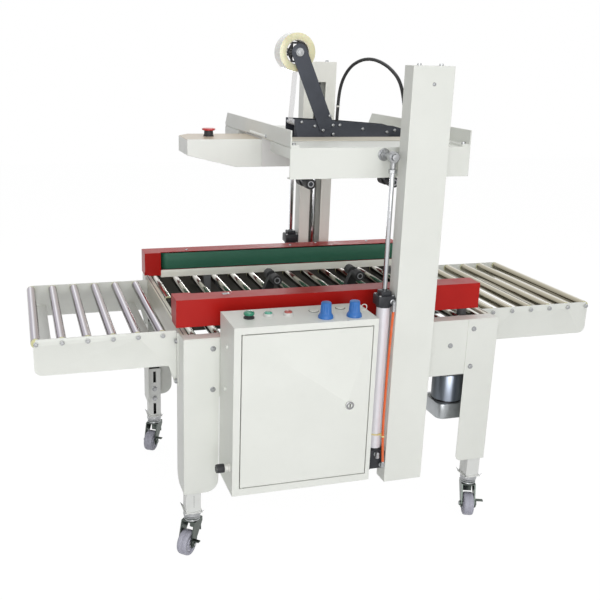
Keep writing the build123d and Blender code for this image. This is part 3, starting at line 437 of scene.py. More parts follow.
tube_zinc = finish_of(
    "leg_tube_paint", tube_tone, lambda p: p.noise(200, 3).span(0.3, 0.7, 0.32, 0.5), 0.25,
    normal=lambda p: p.noise(500).bump(0.0002))
softened("leg_tubes_dressed", "leg_tubes", tube_zinc, "machine_frame")
tube_bolts, tips = [], []
flat = np.array([(half_tube, half_plate, plate_low), (half_plate, half_tube, plate_low),
                 (0.0305, 0.0305, 0.145)])
wedge = np.concatenate([flat, flat - (0, 0, plate_thick)])
wedge_faces = [[0, 1, 2], [3, 4, 5], [0, 1, 4, 3], [1, 2, 5, 4], [2, 0, 3, 5]]
for end in (-1, 1):
    for side in (-1, 1):
        for z in (0.208, 0.246):
            size = 0.0092 if end < 0 < side else 0.0062
            tube_bolts.append(bolt((end * tube_x, side * 0.3315, z), (0, -side, 0), size))
        for dx in (-1, 1):
            for dy in (-1, 1):
                tips.append((wedge * (dx, dy, 1) + (end * tube_x, side * tube_y, 0), wedge_faces))
fasteners("leg_tube_bolts", tube_bolts)
piece_of("caster_plate_corners", tips, zinc_bright, "machine_frame", sharp=0)
tick_dark = finish_of("height_scale_ink", (0.1, 0.1, 0.1, 1.0), 0.5)
ticks = [block((-0.4688, -0.4672), (-0.3774, -0.3769), (0.153 + 0.0036 * n, 0.1546 + 0.0036 * n), 0)
         for n in range(11)]
piece_of("height_scale", ticks, tick_dark, "machine_frame")

# Casters: pressed and zinc-plated swivel forks with a ball race and a brake lever at the side, and
# moulded lilac-grey rubber wheels on a hub that turns on a through bolt.
fork_zinc = mottled(
    "caster_zinc", (0.125, 0.145, 0.13), (0.065, 0.078, 0.07), 60, (260, 0.24, 0.4), 0.95, (240, 0.0003))
wheel_rubber = mottled(
    "caster_rubber", (0.46, 0.46, 0.53), (0.36, 0.36, 0.43), 90, (300, 0.42, 0.6), relief=(700, 0.0002),
    detail=4)
hub_grey = mottled("caster_hub", (0.62, 0.62, 0.66), (0.52, 0.52, 0.56), 120, 0.38)
wheel_radius, caster_trail = 0.038, 0.03
up = np.array((0.0, 0.0, 1.0))


def section_mm(*points):
    """Half section of a turned piece: (radius, height) points given in millimetres."""
    return 0.001 * np.array(points)


corners = {
    "front_infeed": (-1, -1, -0.66, -0.75), "front_outfeed": (1, -1, -0.35, -0.94),
    "back_infeed": (-1, 1, -0.54, -0.84), "back_outfeed": (1, 1, -0.5, -0.87)}
half_tyre = section_mm((0, -12.5), (11.5, -12.5), (11.5, -14.8), (13, -15.8), (17, -15.8), (18.5, -12.5),
                       (25.5, -12), (27.5, -15), (33.5, -15.9), (35.8, -15), (37.4, -12), (38, -8),
                       (38, -1.2), (37.4, 0))
tyre = np.concatenate([half_tyre, half_tyre[-2::-1] * (1, -1)])
race = section_mm((23.8, 105), (24.6, 105.8), (24.6, 108.5), (23.6, 110), (23.6, 112), (25.2, 114),
                  (25.2, 117.2), (23.8, 118.4))
cup = section_mm((25.8, 119.2), (26.6, 120), (27, 123.5), (26.2, 126.2), (26.2, 130), (25.8, 132.8))
hub_cap = section_mm((0, 12), (10.5, 12), (11.2, 15.5), (8.5, 17.2), (0, 17.2))
cups = []
for corner, (end, side, trail_x, trail_y) in corners.items():
    fork, wheel = "fork_" + corner, "wheel_" + corner
    trail = np.array((trail_x, trail_y, 0.0)) / math.hypot(trail_x, trail_y)
    axle = np.array((trail[1], -trail[0], 0.0))
    pin = np.array((end * tube_x, side * tube_y, 0.0))
    hub = pin + caster_trail * trail + wheel_radius * up
    softened(fork, "caster_" + fork, fork_zinc, fork)
    axle_ends = [turned(rounded_disc(0.0052, 0.0015, 0.0007), hub + way * 0.028 * axle, way * axle, 20)
                 for way in (-1, 1)]
    piece_of("fork_race_" + corner, [turned(race, pin, up, 40, ring=True)] + axle_ends, zinc_bright, fork,
             sharp=40)
    web, web_faces = block((-0.0225, -0.02), (-0.0195, 0.0195), (0.058, 0.1015), 0.0008)
    web = pin + web[:, :1] * trail + web[:, 1:2] * axle + web[:, 2:] * up
    piece_of("fork_web_" + corner, [(web, web_faces)], fork_zinc, fork, sharp=30)
    cups.append(turned(cup, pin, up, 40, ring=True))
    piece_of(wheel + "_tyre", [turned(tyre, hub, axle, 64)], wheel_rubber, wheel, sharp=50,
             node="caster_" + wheel)
    hubs = []
    for way in (-1, 1):
        for a in np.arange(6) * np.pi / 3:
            rivet = hub + 0.0222 * (np.cos(a) * trail + np.sin(a) * up) + way * 0.012 * axle
            hubs.append(turned(rounded_disc(0.003, 0.0012, 0.0005), rivet, way * axle, 12))
        hubs.append(turned(hub_cap, hub, way * axle, 24))
    piece_of(wheel + "_hub", hubs, hub_grey, wheel)
piece_of("swivel_cups", cups, zinc_bright, "machine_frame", sharp=40)

# Roller tables: two folded side plates on six fixed axles, bolted to the legs by their end flanges,
# with tie bars below. Each axle is held by a screw through the plate.
tables = {"infeed": -1, "outfeed": 1}
roller_pitch, roller_radius, first_roller, axle_z = 0.071, 0.014, 0.541, 0.67
roller_xs = first_roller + roller_pitch * np.arange(6)
axle_screws = []
for word, end in tables.items():
    softened(word + "_table_plates", word + "_table", off_white, "machine_frame")
    axle_screws += [bolt((end * x, side * 0.2865, axle_z), (0, side, 0), 0.007)
                    for x in roller_xs for side in (-1, 1)]
fasteners("axle_screws", axle_screws)

# Table rollers: 28 mm bright-plated tube with a pressed bearing in each end behind a pale yellow
# sleeve. A painted reflection of the near-mirror plating: lilac flank, light top, brown other flank.
half_roller, sleeve_long, seal_long = 0.28, 0.0058, 0.0009


def painted_reflection_plating(name, start, middle, half, *reflection_bands):
    """Plating for rollers one pitch apart from x = start, with a painted reflection in bands along the
    tube.

    The place's X, wrapped round into half a pitch to each side of the nearest roller's middle, picks
    the band. Past half of the length from the middle comes a dark seal, and then the yellow end."""
    seal_start = half - sleeve_long - seal_long

    def reach(p):
        return (p.part("Y").size() - middle).size()

    def tone(p):
        aside = (p.part("X") - start).wrap(roller_pitch / 2, -roller_pitch / 2)
        painted_reflection = (aside / (2 * roller_radius) + 0.5).ramp(*reflection_bands)
        line = p.stretched(1, 0.03, 0.3).noise(220, 2).span(0.45, 0.75, 0.0, 0.18)
        far = reach(p)
        ended = (far > half - sleeve_long).mix((0.05, 0.05, 0.04), (0.72, 0.7, 0.4))
        return (far > seal_start).mix(line.mix(painted_reflection, reflection_bands[1][1]), ended)
    return finish_of(name, tone, 0.15, lambda p: reach(p) < seal_start,
                     normal=lambda p: p.stretched(1, 0.1, 1).noise(160, 2).bump(0.00003, 0.4))


painted_reflection_platings = {
    "infeed": painted_reflection_plating(
        "infeed_painted_reflection", -first_roller, 0.0, half_roller,
        (0.0, (0.1, 0.085, 0.095)), (0.1, (0.2, 0.17, 0.2)), (0.28, (0.37, 0.34, 0.41)),
        (0.41, (0.88, 0.86, 0.9)), (0.52, (0.5, 0.47, 0.5)), (0.66, (0.28, 0.225, 0.205)),
        (0.82, (0.19, 0.15, 0.135)), (1.0, (0.1, 0.08, 0.075))),
    "outfeed": painted_reflection_plating(
        "outfeed_painted_reflection", first_roller, 0.0, half_roller,
        (0.0, (0.22, 0.2, 0.15)), (0.12, (0.4, 0.37, 0.285)), (0.34, (0.52, 0.48, 0.385)),
        (0.48, (0.8, 0.77, 0.68)), (0.62, (0.46, 0.42, 0.32)), (0.8, (0.24, 0.21, 0.155)),
        (1.0, (0.12, 0.105, 0.08)))}
cap_yellow = mottled("bearing_cap", (0.8, 0.78, 0.42), (0.7, 0.67, 0.34), 200, 0.45)


def tube_between(x, y0, y1):
    """A roller's tube along Y between two moulded sleeves, each behind a groove for its seal.

    Half of its section is (radius, height) points, and the other half is the same from its far end."""
    r = roller_radius
    half = [(0.0045, 0.0025), (r - 0.004, 0.0025), (r - 0.004, 0.0), (r - 0.0014, 0.0),
            (r - 0.0004, 0.0012),
            (r - 0.0004, 0.0057), (r - 0.0016, 0.006), (r - 0.0016, 0.0065), (r - 0.0004, 0.0067),
            (r, 0.0072)]
    return turned(half + [(radius, y1 - y0 - h) for radius, h in half[::-1]], (x, y0, axle_z), (0, 1, 0),
                  40)


def caps_of(x, y0, y1):
    """The two bearing caps of a roller: shallow stepped discs just proud of the tube's ends."""
    r, inset = roller_radius, 0.0026
    disc = [(0.0046, 0.0), (r - 0.0042, 0.0), (r - 0.0042, 0.0022), (r - 0.0065, 0.0034), (0.0046, 0.0034)]
    return [turned(disc, (x, y0 + inset, axle_z), (0, -1, 0), 28),
            turned(disc, (x, y1 - inset, axle_z), (0, 1, 0), 28)]


for word, end in tables.items():
    for n, x in enumerate(roller_xs, 1):
        reach = (end * x, -half_roller, half_roller)
        name = word + "_roller_" + str(n)
        piece_of(name + "_tube", [tube_between(*reach)], painted_reflection_platings[word], name, node=name)
        piece_of(name + "_caps", caps_of(*reach), cap_yellow, name)


# Bed rollers: the same tube in two short rows, set in the side panels' flanges and the rails of
# the centre channel, on 8 mm axles.
def plain_rod(foot, axis, radius, low, high, steps):
    """A plain round rod between two heights over its foot."""
    return turned([(0, low), (radius, low), (radius, high), (0, high)], foot, axis, steps)


bed_near, bed_far = 0.06, 0.338
tubes, caps, axles = [], [], []
for n in range(14):
    x = (n - 6.5) * roller_pitch
    for y0, y1 in ((-bed_far, -bed_near), (bed_near, bed_far)):
        tubes.append(tube_between(x, y0, y1))
        caps += caps_of(x, y0, y1)
        axles.append(plain_rod((x, y0 - 0.0035, axle_z), (0, 1, 0), 0.004, 0, y1 - y0 + 0.007, 16))
# Painted reflection and shade: bright bands across each bed roller, near black at both flanks.
bed_painted_reflection_plating = painted_reflection_plating(
    "bed_painted_reflection_plating", roller_pitch / 2, (bed_near + bed_far) / 2, (bed_far - bed_near) / 2,
    (0.0, (0.05, 0.047, 0.037)), (0.18, (0.34, 0.33, 0.28)), (0.42, (0.8, 0.79, 0.75)),
    (0.6, (0.5, 0.48, 0.42)), (0.8, (0.14, 0.13, 0.1)), (1.0, (0.05, 0.047, 0.037)))
piece_of("bed_roller_tubes", tubes, bed_painted_reflection_plating, "machine_frame", node="bed_rollers")
piece_of("bed_roller_caps", caps, cap_yellow, "machine_frame")
piece_of("bed_roller_axles", axles, zinc_bright, "machine_frame")

# Centre channel and cross slides: a channel in painted shade for the inner roller ends, and two ground
# shafts under it on which the belt carriages slide. A pressed plug closes each shaft's hole.
channel_painted_shade = powder("channel_painted_shade_coat", (0.075, 0.073, 0.06), (0.055, 0.053, 0.043), 0.5)
softened("centre_rails", "centre_channel", channel_painted_shade, "machine_frame", 0.0008)
ground_steel = mottled("ground_steel", (0.63, 0.64, 0.66), (0.55, 0.56, 0.58), 50, (200, 0.1, 0.18), 1.0)
shaft_xs, shaft_z, shaft_long = (-0.284, 0.284), 0.59, 0.764
shaft = [(0, 0), (0.0085, 0), (0.01, 0.0015), (0.01, shaft_long - 0.0015), (0.0085, shaft_long),
         (0, shaft_long)]
piece_of("cross_slide_shafts", [turned(shaft, (x, -half_width, shaft_z), (0, 1, 0), 40) for x in shaft_xs],
         ground_steel, "machine_frame", node="slide_shafts")
plugs = [turned(rounded_disc(0.0125, 0.0005, 0.0004), (x, side * 0.3819, shaft_z), (0, side, 0), 32)
         for x in shaft_xs for side in (-1, 1)]
piece_of("shaft_end_plugs", plugs, panel_white_painted_shade_inside, "machine_frame", sharp=180)

# Columns: folded and welded sheet boxes, closed at both ends, that stand off the side panels. A
# slot up the inner face lets the lift arm through. Two screws in the cap hold the guide rod.
guide_x, guide_y = 0.168, 0.437


def column_inner_painted_light(p):
    """The back column's inner face in painted light: a paler tone for light that the head shades off it."""
    return (p.part("Y") > 0.3) * (p.part("Y") < 0.4125), (0.94, 0.94, 0.88)


def cap_screw(place, axis, size):
    """A button head with a socket: a shallow dome over a disc, with a round socket pressed in."""
    dome = [(0, 0), (1, 0), (1, 0.25), (0.9, 0.5), (0.68, 0.68), (0.42, 0.75), (0.38, 0.75), (0.36, 0.35),
            (0, 0.35)]
    return turned(size * np.array(dome), place, axis, 18)


# Painted light: the back column's inner face is paler than the rest of the coat.
column_white_painted_light = powder("column_powder", *coat_tones, other=column_inner_painted_light)
softened("lift_columns_dressed", "lift_columns", column_white_painted_light, "machine_frame", 0.002, 3)
column_screws, guide_rods = [], []
for side in (-1, 1):
    column_screws += [bolt((guide_x + dx, side * guide_y, 1.438), up, 0.0062) for dx in (-0.033, 0.033)]
    column_screws.append(cap_screw((0.17, side * 0.464, 1.39), (0, side, 0), 0.005))
    guide_rods.append(plain_rod((guide_x, side * guide_y, 0.211), up, 0.01, 0, 1.224, 40))
fasteners("column_screws", column_screws)
piece_of("guide_rods_ground", guide_rods, ground_steel, "machine_frame", node="guide_rods")
zinc_sheet = finish_of(
    "zinc_sheet", lambda p: p.noise(35, 5).mix((0.55, 0.555, 0.56), (0.4, 0.405, 0.41)),
    lambda p: p.noise(120, 4).span(0.3, 0.7, 0.34, 0.5), 0.9, normal=lambda p: p.noise(380, 2).bump(0.0001))
softened("lift_carriages_dressed", "lift_carriages", zinc_sheet, "lifting_head")

# Lift cylinders: drawn aluminium barrels between a head block and a foot block of black anodised
# aluminium, tied by four screws, with nickel push-in elbows for the hose and a flow control screw.
barrel_grey = finish_of(
    "cylinder_barrel",
    lambda p: p.stretched(1, 1, 0.03).noise(40, 1).mix((0.82, 0.81, 0.86), (0.79, 0.78, 0.83)), 0.25, 0.15)
block_black = mottled(
    "cylinder_blocks", (0.022, 0.024, 0.028), (0.045, 0.047, 0.052), 60, (260, 0.3, 0.46),
    relief=(600, 0.00015), Specular_IOR_Level=0.25)
cylinder_x, cylinder_y = 0.08, 0.432
foot_low, foot_high, head_low, head_high = 0.252, 0.314, 0.769, 0.799
barrels, blocks, fittings = [], [], []


def about_cylinder(side, half_x, half_y, zs, edge):
    """A block centred on a cylinder's axis."""
    return block((cylinder_x - half_x, cylinder_x + half_x),
                 (side * (cylinder_y - half_y), side * (cylinder_y + half_y)), zs, edge)


for side in (-1, 1):
    foot = (cylinder_x, side * cylinder_y, 0.0)
    barrel = [(0.009, foot_high), (0.02, foot_high), (0.02, head_low), (0.009, head_low)]
    barrels.append(turned(barrel, foot, up, 48))
    for low, high, lip in ((foot_low, foot_high, foot_high), (head_low, head_high, head_low)):
        blocks.append(about_cylinder(side, 0.025, 0.023, (low, high), 0.0025))
        blocks.append(block((0.1045, 0.1063), (side * 0.417, side * 0.457), (low + 0.005, high - 0.005), 0))
        collar = section_mm((0, -5), (22.3, -5), (22.3, 3), (20.5, 5), (0, 5))
        blocks.append(turned(collar, foot + lip * up, up, 40))
    blocks.append(about_cylinder(side, 0.016, 0.016, (0.7985, 0.812), 0.002))
    for dx in (-0.0195, 0.0195):
        for dy in (-0.0175, 0.0175):
            x, y = cylinder_x + dx, side * (cylinder_y + dy)
            fittings += [cap_screw((x, y, 0.7989), up, 0.0038), cap_screw((x, y, 0.2522), -up, 0.0038)]
    for x, z, low, high in ((hose_x, 0.782, -0.026, 0.002), (hose_x, 0.265, -0.004, 0.014),
                            (0.078, 0.302, -0.009, 0.009)):
        spigot = section_mm((0, 0), (7.8, 0), (7.8, 3), (5.5, 3.8), (5.5, 12), (0, 12))
        sleeve = [(0, low), (0.0056, low), (0.0066, low + 0.0012), (0.0066, low + 0.005),
                  (0.006, low + 0.0056), (0.006, high - 0.0022), (0.0046, high), (0, high)]
        fittings.append(turned(spigot, (x, side * 0.4545, z), (0, side, 0), 24))
        fittings.append(turned(sleeve, (x, side * 0.465, z), up, 28))
piece_of("cylinder_barrels", barrels, barrel_grey, "machine_frame",
         node="lift_cylinders")
piece_of("cylinder_blocks", blocks, block_black, "machine_frame", sharp=30)
piece_of("cylinder_fittings", fittings, zinc_bright, "machine_frame", sharp=30)


# Cable ties: a yellowed nylon strap holds the hose to the barrel near its foot, and a white one
# goes round the conduit above the tape head.
def plain_ring(foot, axis, inner, outer, low, high, steps):
    """A plain ring or tube between two radii and two heights over its foot."""
    return turned([(inner, low), (outer, low), (outer, high), (inner, high)], foot, axis, steps, ring=True)


nylon = mottled("nylon_tie", (0.8, 0.8, 0.76), (0.7, 0.7, 0.66), 100)
nylon_aged = mottled("nylon_tie_aged", (0.82, 0.72, 0.34), (0.72, 0.6, 0.26), 100)
tie_z, half_strap = 0.364, 0.0022
hose_tie = [plain_ring((cylinder_x, -cylinder_y, tie_z), up, 0.0204, 0.0214, -half_strap, half_strap, 40),
            plain_ring((0.0918, hose_y, tie_z), up, 0.0042, 0.0052, -half_strap, half_strap, 24),
            block((0.0865, 0.0905), (-0.4615, -0.4505), (tie_z - 0.0025, tie_z + 0.0025), 0.0008)]
piece_of("hose_tie", hose_tie, nylon_aged, "machine_frame", sharp=40)
conduit_tie = [plain_ring((0.0655, -0.035, 1.3065), (0, -0.14, 1), 0.0053, 0.0065, -0.0024, 0.0024, 24),
               block((0.0605, 0.068), (-0.0445, -0.0405), (1.3035, 1.3085), 0.0008)]
piece_of("conduit_tie", conduit_tie, nylon, "lifting_head", sharp=40)

# Lift rods: hard-chromed piston rods, each screwed into a forged eye with a lock nut. The eye sits
# on a bolt through the side of the head beam, between a wide washer with its nut and the bolt's head.
eye_z = 1.193
piston = section_mm((0, 659), (6, 659), (7, 661), (7, 1162), (0, 1162))
shank = section_mm((0, 1160), (7.4, 1160), (8, 1163), (8, 1174), (9.4, 1183), (0, 1186))
lock_nut = section_mm((0, 1148), (10, 1148), (12, 1149.2), (12, 1158.8), (10, 1160), (0, 1160))
eye = section_mm((9.8, -9), (14.2, -9), (16, -7.5), (16, 7.5), (14.2, 9), (9.8, 9))
ball = section_mm((0, -7.8), (8.2, -7.8), (9.2, -6), (9.6, 0), (9.2, 6), (8.2, 7.8), (0, 7.8))
pistons, pivots = [], []
for side in (-1, 1):
    foot = (cylinder_x, side * cylinder_y, 0.0)
    centre = (cylinder_x, side * cylinder_y, eye_z)
    pistons.append(turned(piston, foot, up, 32))
    pivots += [turned(shank, foot, up, 32), turned(lock_nut, foot, up, 6),
               turned(eye, centre, (0, 1, 0), 44, ring=True), turned(ball, centre, (0, 1, 0), 32)]
    for near, radius, thick, steps in ((0.368, 0.018, 0.003, 36), (0.371, 0.014, 0.011, 6),
                                       (0.381, 0.006, 0.06, 24), (0.4405, 0.01, 0.0075, 6)):
        place = (cylinder_x, side * near, eye_z)
        pivots.append(turned(rounded_disc(radius, thick, 0.0009), place, (0, side, 0), steps))
piece_of("lift_rods_chromed", pistons, ground_steel, "lifting_head", sharp=30,
         node="lift_rods")
piece_of("rod_eyes", pivots, zinc_bright, "lifting_head", sharp=30)

# Lifting head: two folded channels with a deck, a lighter tray between them, upright angles across
# both ends and a nose arm over the infeed, all in sheet and bolted together.
softened("head_beams_dressed", "head_beams", off_white, "lifting_head", 0.0014, 2,
         cut=True)


def tray_aged(p):
    """The tray's flat flanges have gone cream."""
    return p.part("Z") > 1.2145, p.noise(8, 3).mix((0.66, 0.62, 0.52), (0.61, 0.57, 0.47))


def nose_aged(p):
    """The nose arm's top has gone tan, apart from a rim along its front edge."""
    on_top = (p.part("Z") > 1.2088) * (p.part("Y") > -0.09)
    return on_top, p.noise(9, 3).span(0.3, 0.7).mix((0.58, 0.5, 0.38), (0.62, 0.54, 0.425))


tray_grey = powder("tray_powder", (0.7, 0.7, 0.68), (0.65, 0.65, 0.63), 0.4, other=tray_aged)
softened("head_tray_dressed", "head_tray", tray_grey, "lifting_head")
softened("cross_plates_dressed", "cross_plates", off_white, "lifting_head")
lips = [block((-0.199, -0.1975), (side * 0.186, side * 0.3665), (1.183, 1.2125), 0.0006)
        for side in (-1, 1)]
piece_of("beam_end_lips", lips, off_white, "lifting_head", sharp=30)
nose_paint = powder("nose_paint", (0.785, 0.8, 0.755), (0.77, 0.78, 0.735), 0.3, other=nose_aged)
softened("nose_arm_cover", "nose_arm", nose_paint, "lifting_head", 0.0022, 3)
head_bolts = [bolt((x, y, 1.22), up, 0.006)
              for x in (-0.184, 0.339) for y in (-0.352, -0.222, 0.222, 0.34)]
head_bolts.append(cap_screw((-0.199, -0.136, 1.2228), (-1, 0, 0), 0.0045))
fasteners("head_bolts", head_bolts, "lifting_head")

# Emergency stop: a moulded rose-red mushroom with a flat top on a black collar, set in the arm.
# It is a bought switch, held by its own nut under the sheet.
stop_red = mottled(
    "emergency_red", (0.62, 0.045, 0.05), (0.54, 0.035, 0.04), 80, 0.3, Coat_Weight=0.4,
    Coat_Roughness=0.15)
collar_black = mottled(
    "collar_black", (0.02, 0.02, 0.022), (0.04, 0.04, 0.043), 200, relief=(900, 0.0001),
    Specular_IOR_Level=0.3)
stop_place = (-0.341, 0.012, 1.21)
mushroom = section_mm((0, 16.5), (14, 16.6), (19.2, 18.2), (20.8, 19.8), (21, 21.5), (20.5, 23.2),
                      (18.5, 24.2), (12, 24.4), (0, 24.2))
piece_of("emergency_stop_cap", [turned(mushroom, stop_place, up, 56)], stop_red, "lifting_head",
         sharp=50, node="emergency_stop")
collar = section_mm((0, 0), (16, 0), (16, 3), (15, 4.2), (14.2, 5.5), (14, 14), (13.2, 16.8), (0, 16.8))
piece_of("emergency_stop_collar", [turned(collar, stop_place, up, 48)], collar_black, "lifting_head")

# Tape heads: laser-cut steel side plates in a blue-black coat, tied by cross bars, with thick arms
# that carry the press rollers. The upper head hangs in the tray, the lower stands in the bed.
plate_black = mottled(
    "tape_head_coat", (0.04, 0.045, 0.058), (0.06, 0.066, 0.082), 30, (240, 0.28, 0.42), 0.35,
    (500, 0.00012), detail=4)
lower_head_painted_shade = mottled("lower_head_coat", (0.01, 0.01, 0.011), (0.018, 0.018, 0.019), 40, 0.5)
softened("upper_tape_head_plates", "upper_tape_head", plate_black, "lifting_head", 0.0006)
# The lower head's plates are near black: a painted shade for their place down in the bed.
softened("lower_tape_head_plates", "lower_tape_head", lower_head_painted_shade, "machine_frame", 0.0006)
softened("tape_arm_plate", "tape_arm", plate_black, "lifting_head", 0.0006)
roll_x, roll_z = -0.072, 1.466
head_screw, plate_face, arm_face = 0.0052, 0.045, 0.048
head_screws = []
for x, z in ((-0.057, 1.257), (-0.013, 1.245), (0.014, 1.232), (0.047, 1.248), (0.071, 1.248),
             (0.049, 1.22), (0.035, 1.277), (0.15, 1.236), (0.235, 1.226), (0.262, 1.232)):
    face = arm_face if -0.007 < x < 0.05 else plate_face
    head_screws.append(cap_screw((x, -face, z), (0, -1, 0), head_screw))
for x, z in ((-0.06, 1.245), (0.06, 1.245), (0.18, 1.232), (0.262, 1.232)):
    head_screws.append(cap_screw((x, plate_face, z), (0, 1, 0), head_screw))
spindle_end = section_mm((0, 0), (12.8, 0), (12.8, 4), (11.2, 5), (8.5, 5), (8, 8.5), (0, 9))
head_screws.append(turned(spindle_end, (roll_x, -arm_face, roll_z), (0, -1, 0), 32))
fasteners("tape_head_screws", head_screws, "lifting_head")

# Press rollers: black rubber bonded to a tube, one on each side of its arm, with a pale bearing
# ring and a dark hub in the outer end. A plain roller guides the web into the upper head.
press_rubber = mottled(
    "press_roller_rubber", (0.012, 0.012, 0.013), (0.03, 0.03, 0.032), 150, (350, 0.5, 0.68),
    relief=(900, 0.0002))
ring_pale = mottled("bearing_ring", (0.62, 0.63, 0.66), (0.5, 0.51, 0.54), 200, 0.3, 0.6)
press = section_mm((4.4, 14.2), (15.5, 14.2), (17, 15.5), (17, 50.5), (15.5, 52), (10.8, 52), (10, 50.8),
                   (4.4, 50.8))
for word, body, xs, z in (("upper", "lifting_head", (-0.02, 0.272), 1.063),
                          ("lower", "machine_frame", (-0.123, 0.169), 0.75)):
    ends = [((x, 0, z), (0, way, 0)) for x in xs for way in (-1, 1)]
    rings = [plain_ring(*end, 0.0072, 0.01, 0.0505, 0.0524, 32) for end in ends]
    if word == "upper":
        rings.append(plain_rod((-0.07, 0, 1.254), (0, 1, 0), 0.009, -0.0415, 0.0415, 32))
    piece_of(word + "_press_rollers", [turned(press, *end, 44, ring=True) for end in ends], press_rubber,
             body, sharp=40, node=word + "_tape_rollers")
    piece_of(word + "_roller_rings", rings, ring_pale, body, sharp=40)


# Tape roll: clear film wound on a card core; hundreds of layers make it a waxy pale yellow with
# fine rings on its flat ends. The web runs down from the roll over the guide roller into the head.
def film_tone(p):
    """Pale on the wound face and creamier on the flat ends, with rings at a noise of the radius."""
    terms = {0: p, 1: (1, 0, 1), 2: (-roll_x, 0, -roll_z)}
    offset = p.node("ShaderNodeVectorMath", {"operation": "MULTIPLY_ADD"}, terms)
    radius = offset.node("ShaderNodeVectorMath", {"operation": "LENGTH"}, {0: offset}, out=1)
    rings = p.node("ShaderNodeTexNoise", {"noise_dimensions": "1D"}, {"W": radius * 1500})
    ends = rings.mix((0.8, 0.76, 0.5), (0.7, 0.65, 0.4))
    return (radius > 0.0572).mix(ends, (0.86, 0.85, 0.8))


film_pale = finish_of("tape_layers", film_tone, 0.24, Coat_Weight=0.6, Coat_Roughness=0.12,
                      Subsurface_Weight=0.1)
roll_centre, roll_axis = np.array((roll_x, 0, roll_z)), (0, 1, 0)
wound = section_mm((38.3, -28), (56, -28), (57.8, -27.2), (58, -26), (58, 26), (57.8, 27.2), (56, 28),
                   (38.3, 28))
piece_of("tape_layers", [turned(wound, roll_centre, roll_axis, 96, ring=True)], film_pale, "tape_roll",
         node="tape_roll")
card = mottled("card_core", (0.72, 0.68, 0.54), (0.6, 0.56, 0.44), 90, 0.6)
piece_of("tape_core", [plain_ring(roll_centre, roll_axis, 0.0355, 0.0382, -0.0285, 0.0285, 64)], card,
         "tape_roll")
spoke_start = 0.5
hub_frames = [plain_ring(roll_centre, roll_axis, 0.0063, 0.0135, -0.0245, 0.0245, 32)]
for y0, y1 in ((-0.03, -0.024), (0.024, 0.03)):
    hub_frames += [plain_ring(roll_centre, roll_axis, inner, outer, y0, y1, steps)
                   for inner, outer, steps in ((0.029, 0.0352, 6), (0.0063, 0.014, 32))]
    for a in spoke_start + np.arange(6) * np.pi / 3:
        spoke_foot = roll_centre + (0, (y0 + y1) / 2, 0)
        hub_frames.append(plain_rod(spoke_foot, (np.cos(a), 0, np.sin(a)), 0.0029, 0.013, 0.03, 8))
piece_of("tape_hub", hub_frames, collar_black, "tape_roll", sharp=25)
film_clear = finish_of("tape_web", (0.9, 0.88, 0.9, 1.0), 0.1, Alpha=0.55)
web_x = np.array([-0.069, -0.074, -0.0788, -0.0796])
web_z = np.array([1.4084, 1.33, 1.263, 1.254])
web = np.concatenate([np.stack([web_x, np.full(4, y), web_z], 1) for y in (-0.025, 0.025)])
piece_of("tape_web", [(web, [[n, n + 1, n + 5, n + 4] for n in range(3)])], film_clear, "lifting_head")

# Side belts: a red powder-coated cover over an aluminium frame, with an endless green belt that
# runs round two pulleys and stands a little proud of the cover on the cartons' side.
cover_red = powder("cover_red", (0.43, 0.01, 0.007), (0.4, 0.008, 0.006), 0.33, gloss=0.22)
strip_cream = powder("guide_strip", (0.92, 0.92, 0.84), (0.89, 0.89, 0.8), 0.34)
belt_green = finish_of(
    "belt_green", lambda p: p.stretched(1, 1, 6).noise(60, 4).mix((0.012, 0.105, 0.058),
                                                                  (0.02, 0.135, 0.078)),
    lambda p: p.noise(300).span(0.3, 0.7, 0.48, 0.62),
    normal=lambda p: (p.part("Z") * 2 * math.pi / 0.004).sine().bump(0.00025, 0.5))
pulley_alloy = mottled("pulley_alloy", (0.7, 0.71, 0.73), (0.58, 0.59, 0.61), 90, (220, 0.25, 0.4), 0.9)
belt_y, pulley_xs, pulley_radius, belt_thick = 0.285, (-0.426, 0.426), 0.022, 0.003


def swept(rings, lids):
    """Rings of the same count of points, each joined to the next by quads.

    With lids the first and last ring are closed by a face; without, the last joins the first."""
    count, total = len(rings[0]), len(rings)
    i = np.arange(total - 1 if lids else total)[:, None] * count
    j = np.arange(count)[None, :]
    k = (j + 1) % count
    onward = (i + count) % (total * count)
    faces = np.stack([i + j, i + k, onward + k, onward + j], -1).reshape(-1, 4).tolist()
    if lids:
        faces += [list(range(count)), list(range((total - 1) * count, total * count))]
    return np.concatenate(rings), faces


def loop_band(y, z0, z1):
    """An endless band: a stadium of two half circles and two runs, carried up in Z, with a wall.

    The path is x = end + r cos a, y = y + r sin a round each end; the wall is the same at r + thick."""
    x0, x1 = pulley_xs
    half = np.linspace(-np.pi / 2, np.pi / 2, 25)
    round_end = pulley_radius * np.stack([np.cos(half), np.sin(half)], 1)
    inner = np.concatenate([(x1, y) + round_end, (x0, y) - round_end])
    centre = np.repeat([(x1, y), (x0, y)], 25, axis=0)
    outer = centre + (inner - centre) * (pulley_radius + belt_thick) / pulley_radius
    soft = 0.0006
    wall = ((0, z0 + soft), (0, z1 - soft), (0.2, z1), (0.8, z1),
            (1, z1 - soft), (1, z0 + soft), (0.8, z0), (0.2, z0))
    rings = [np.column_stack([inner + (outer - inner) * share, np.full(len(inner), z)]) for share,
             z in wall]
    return swept(rings, lids=False)


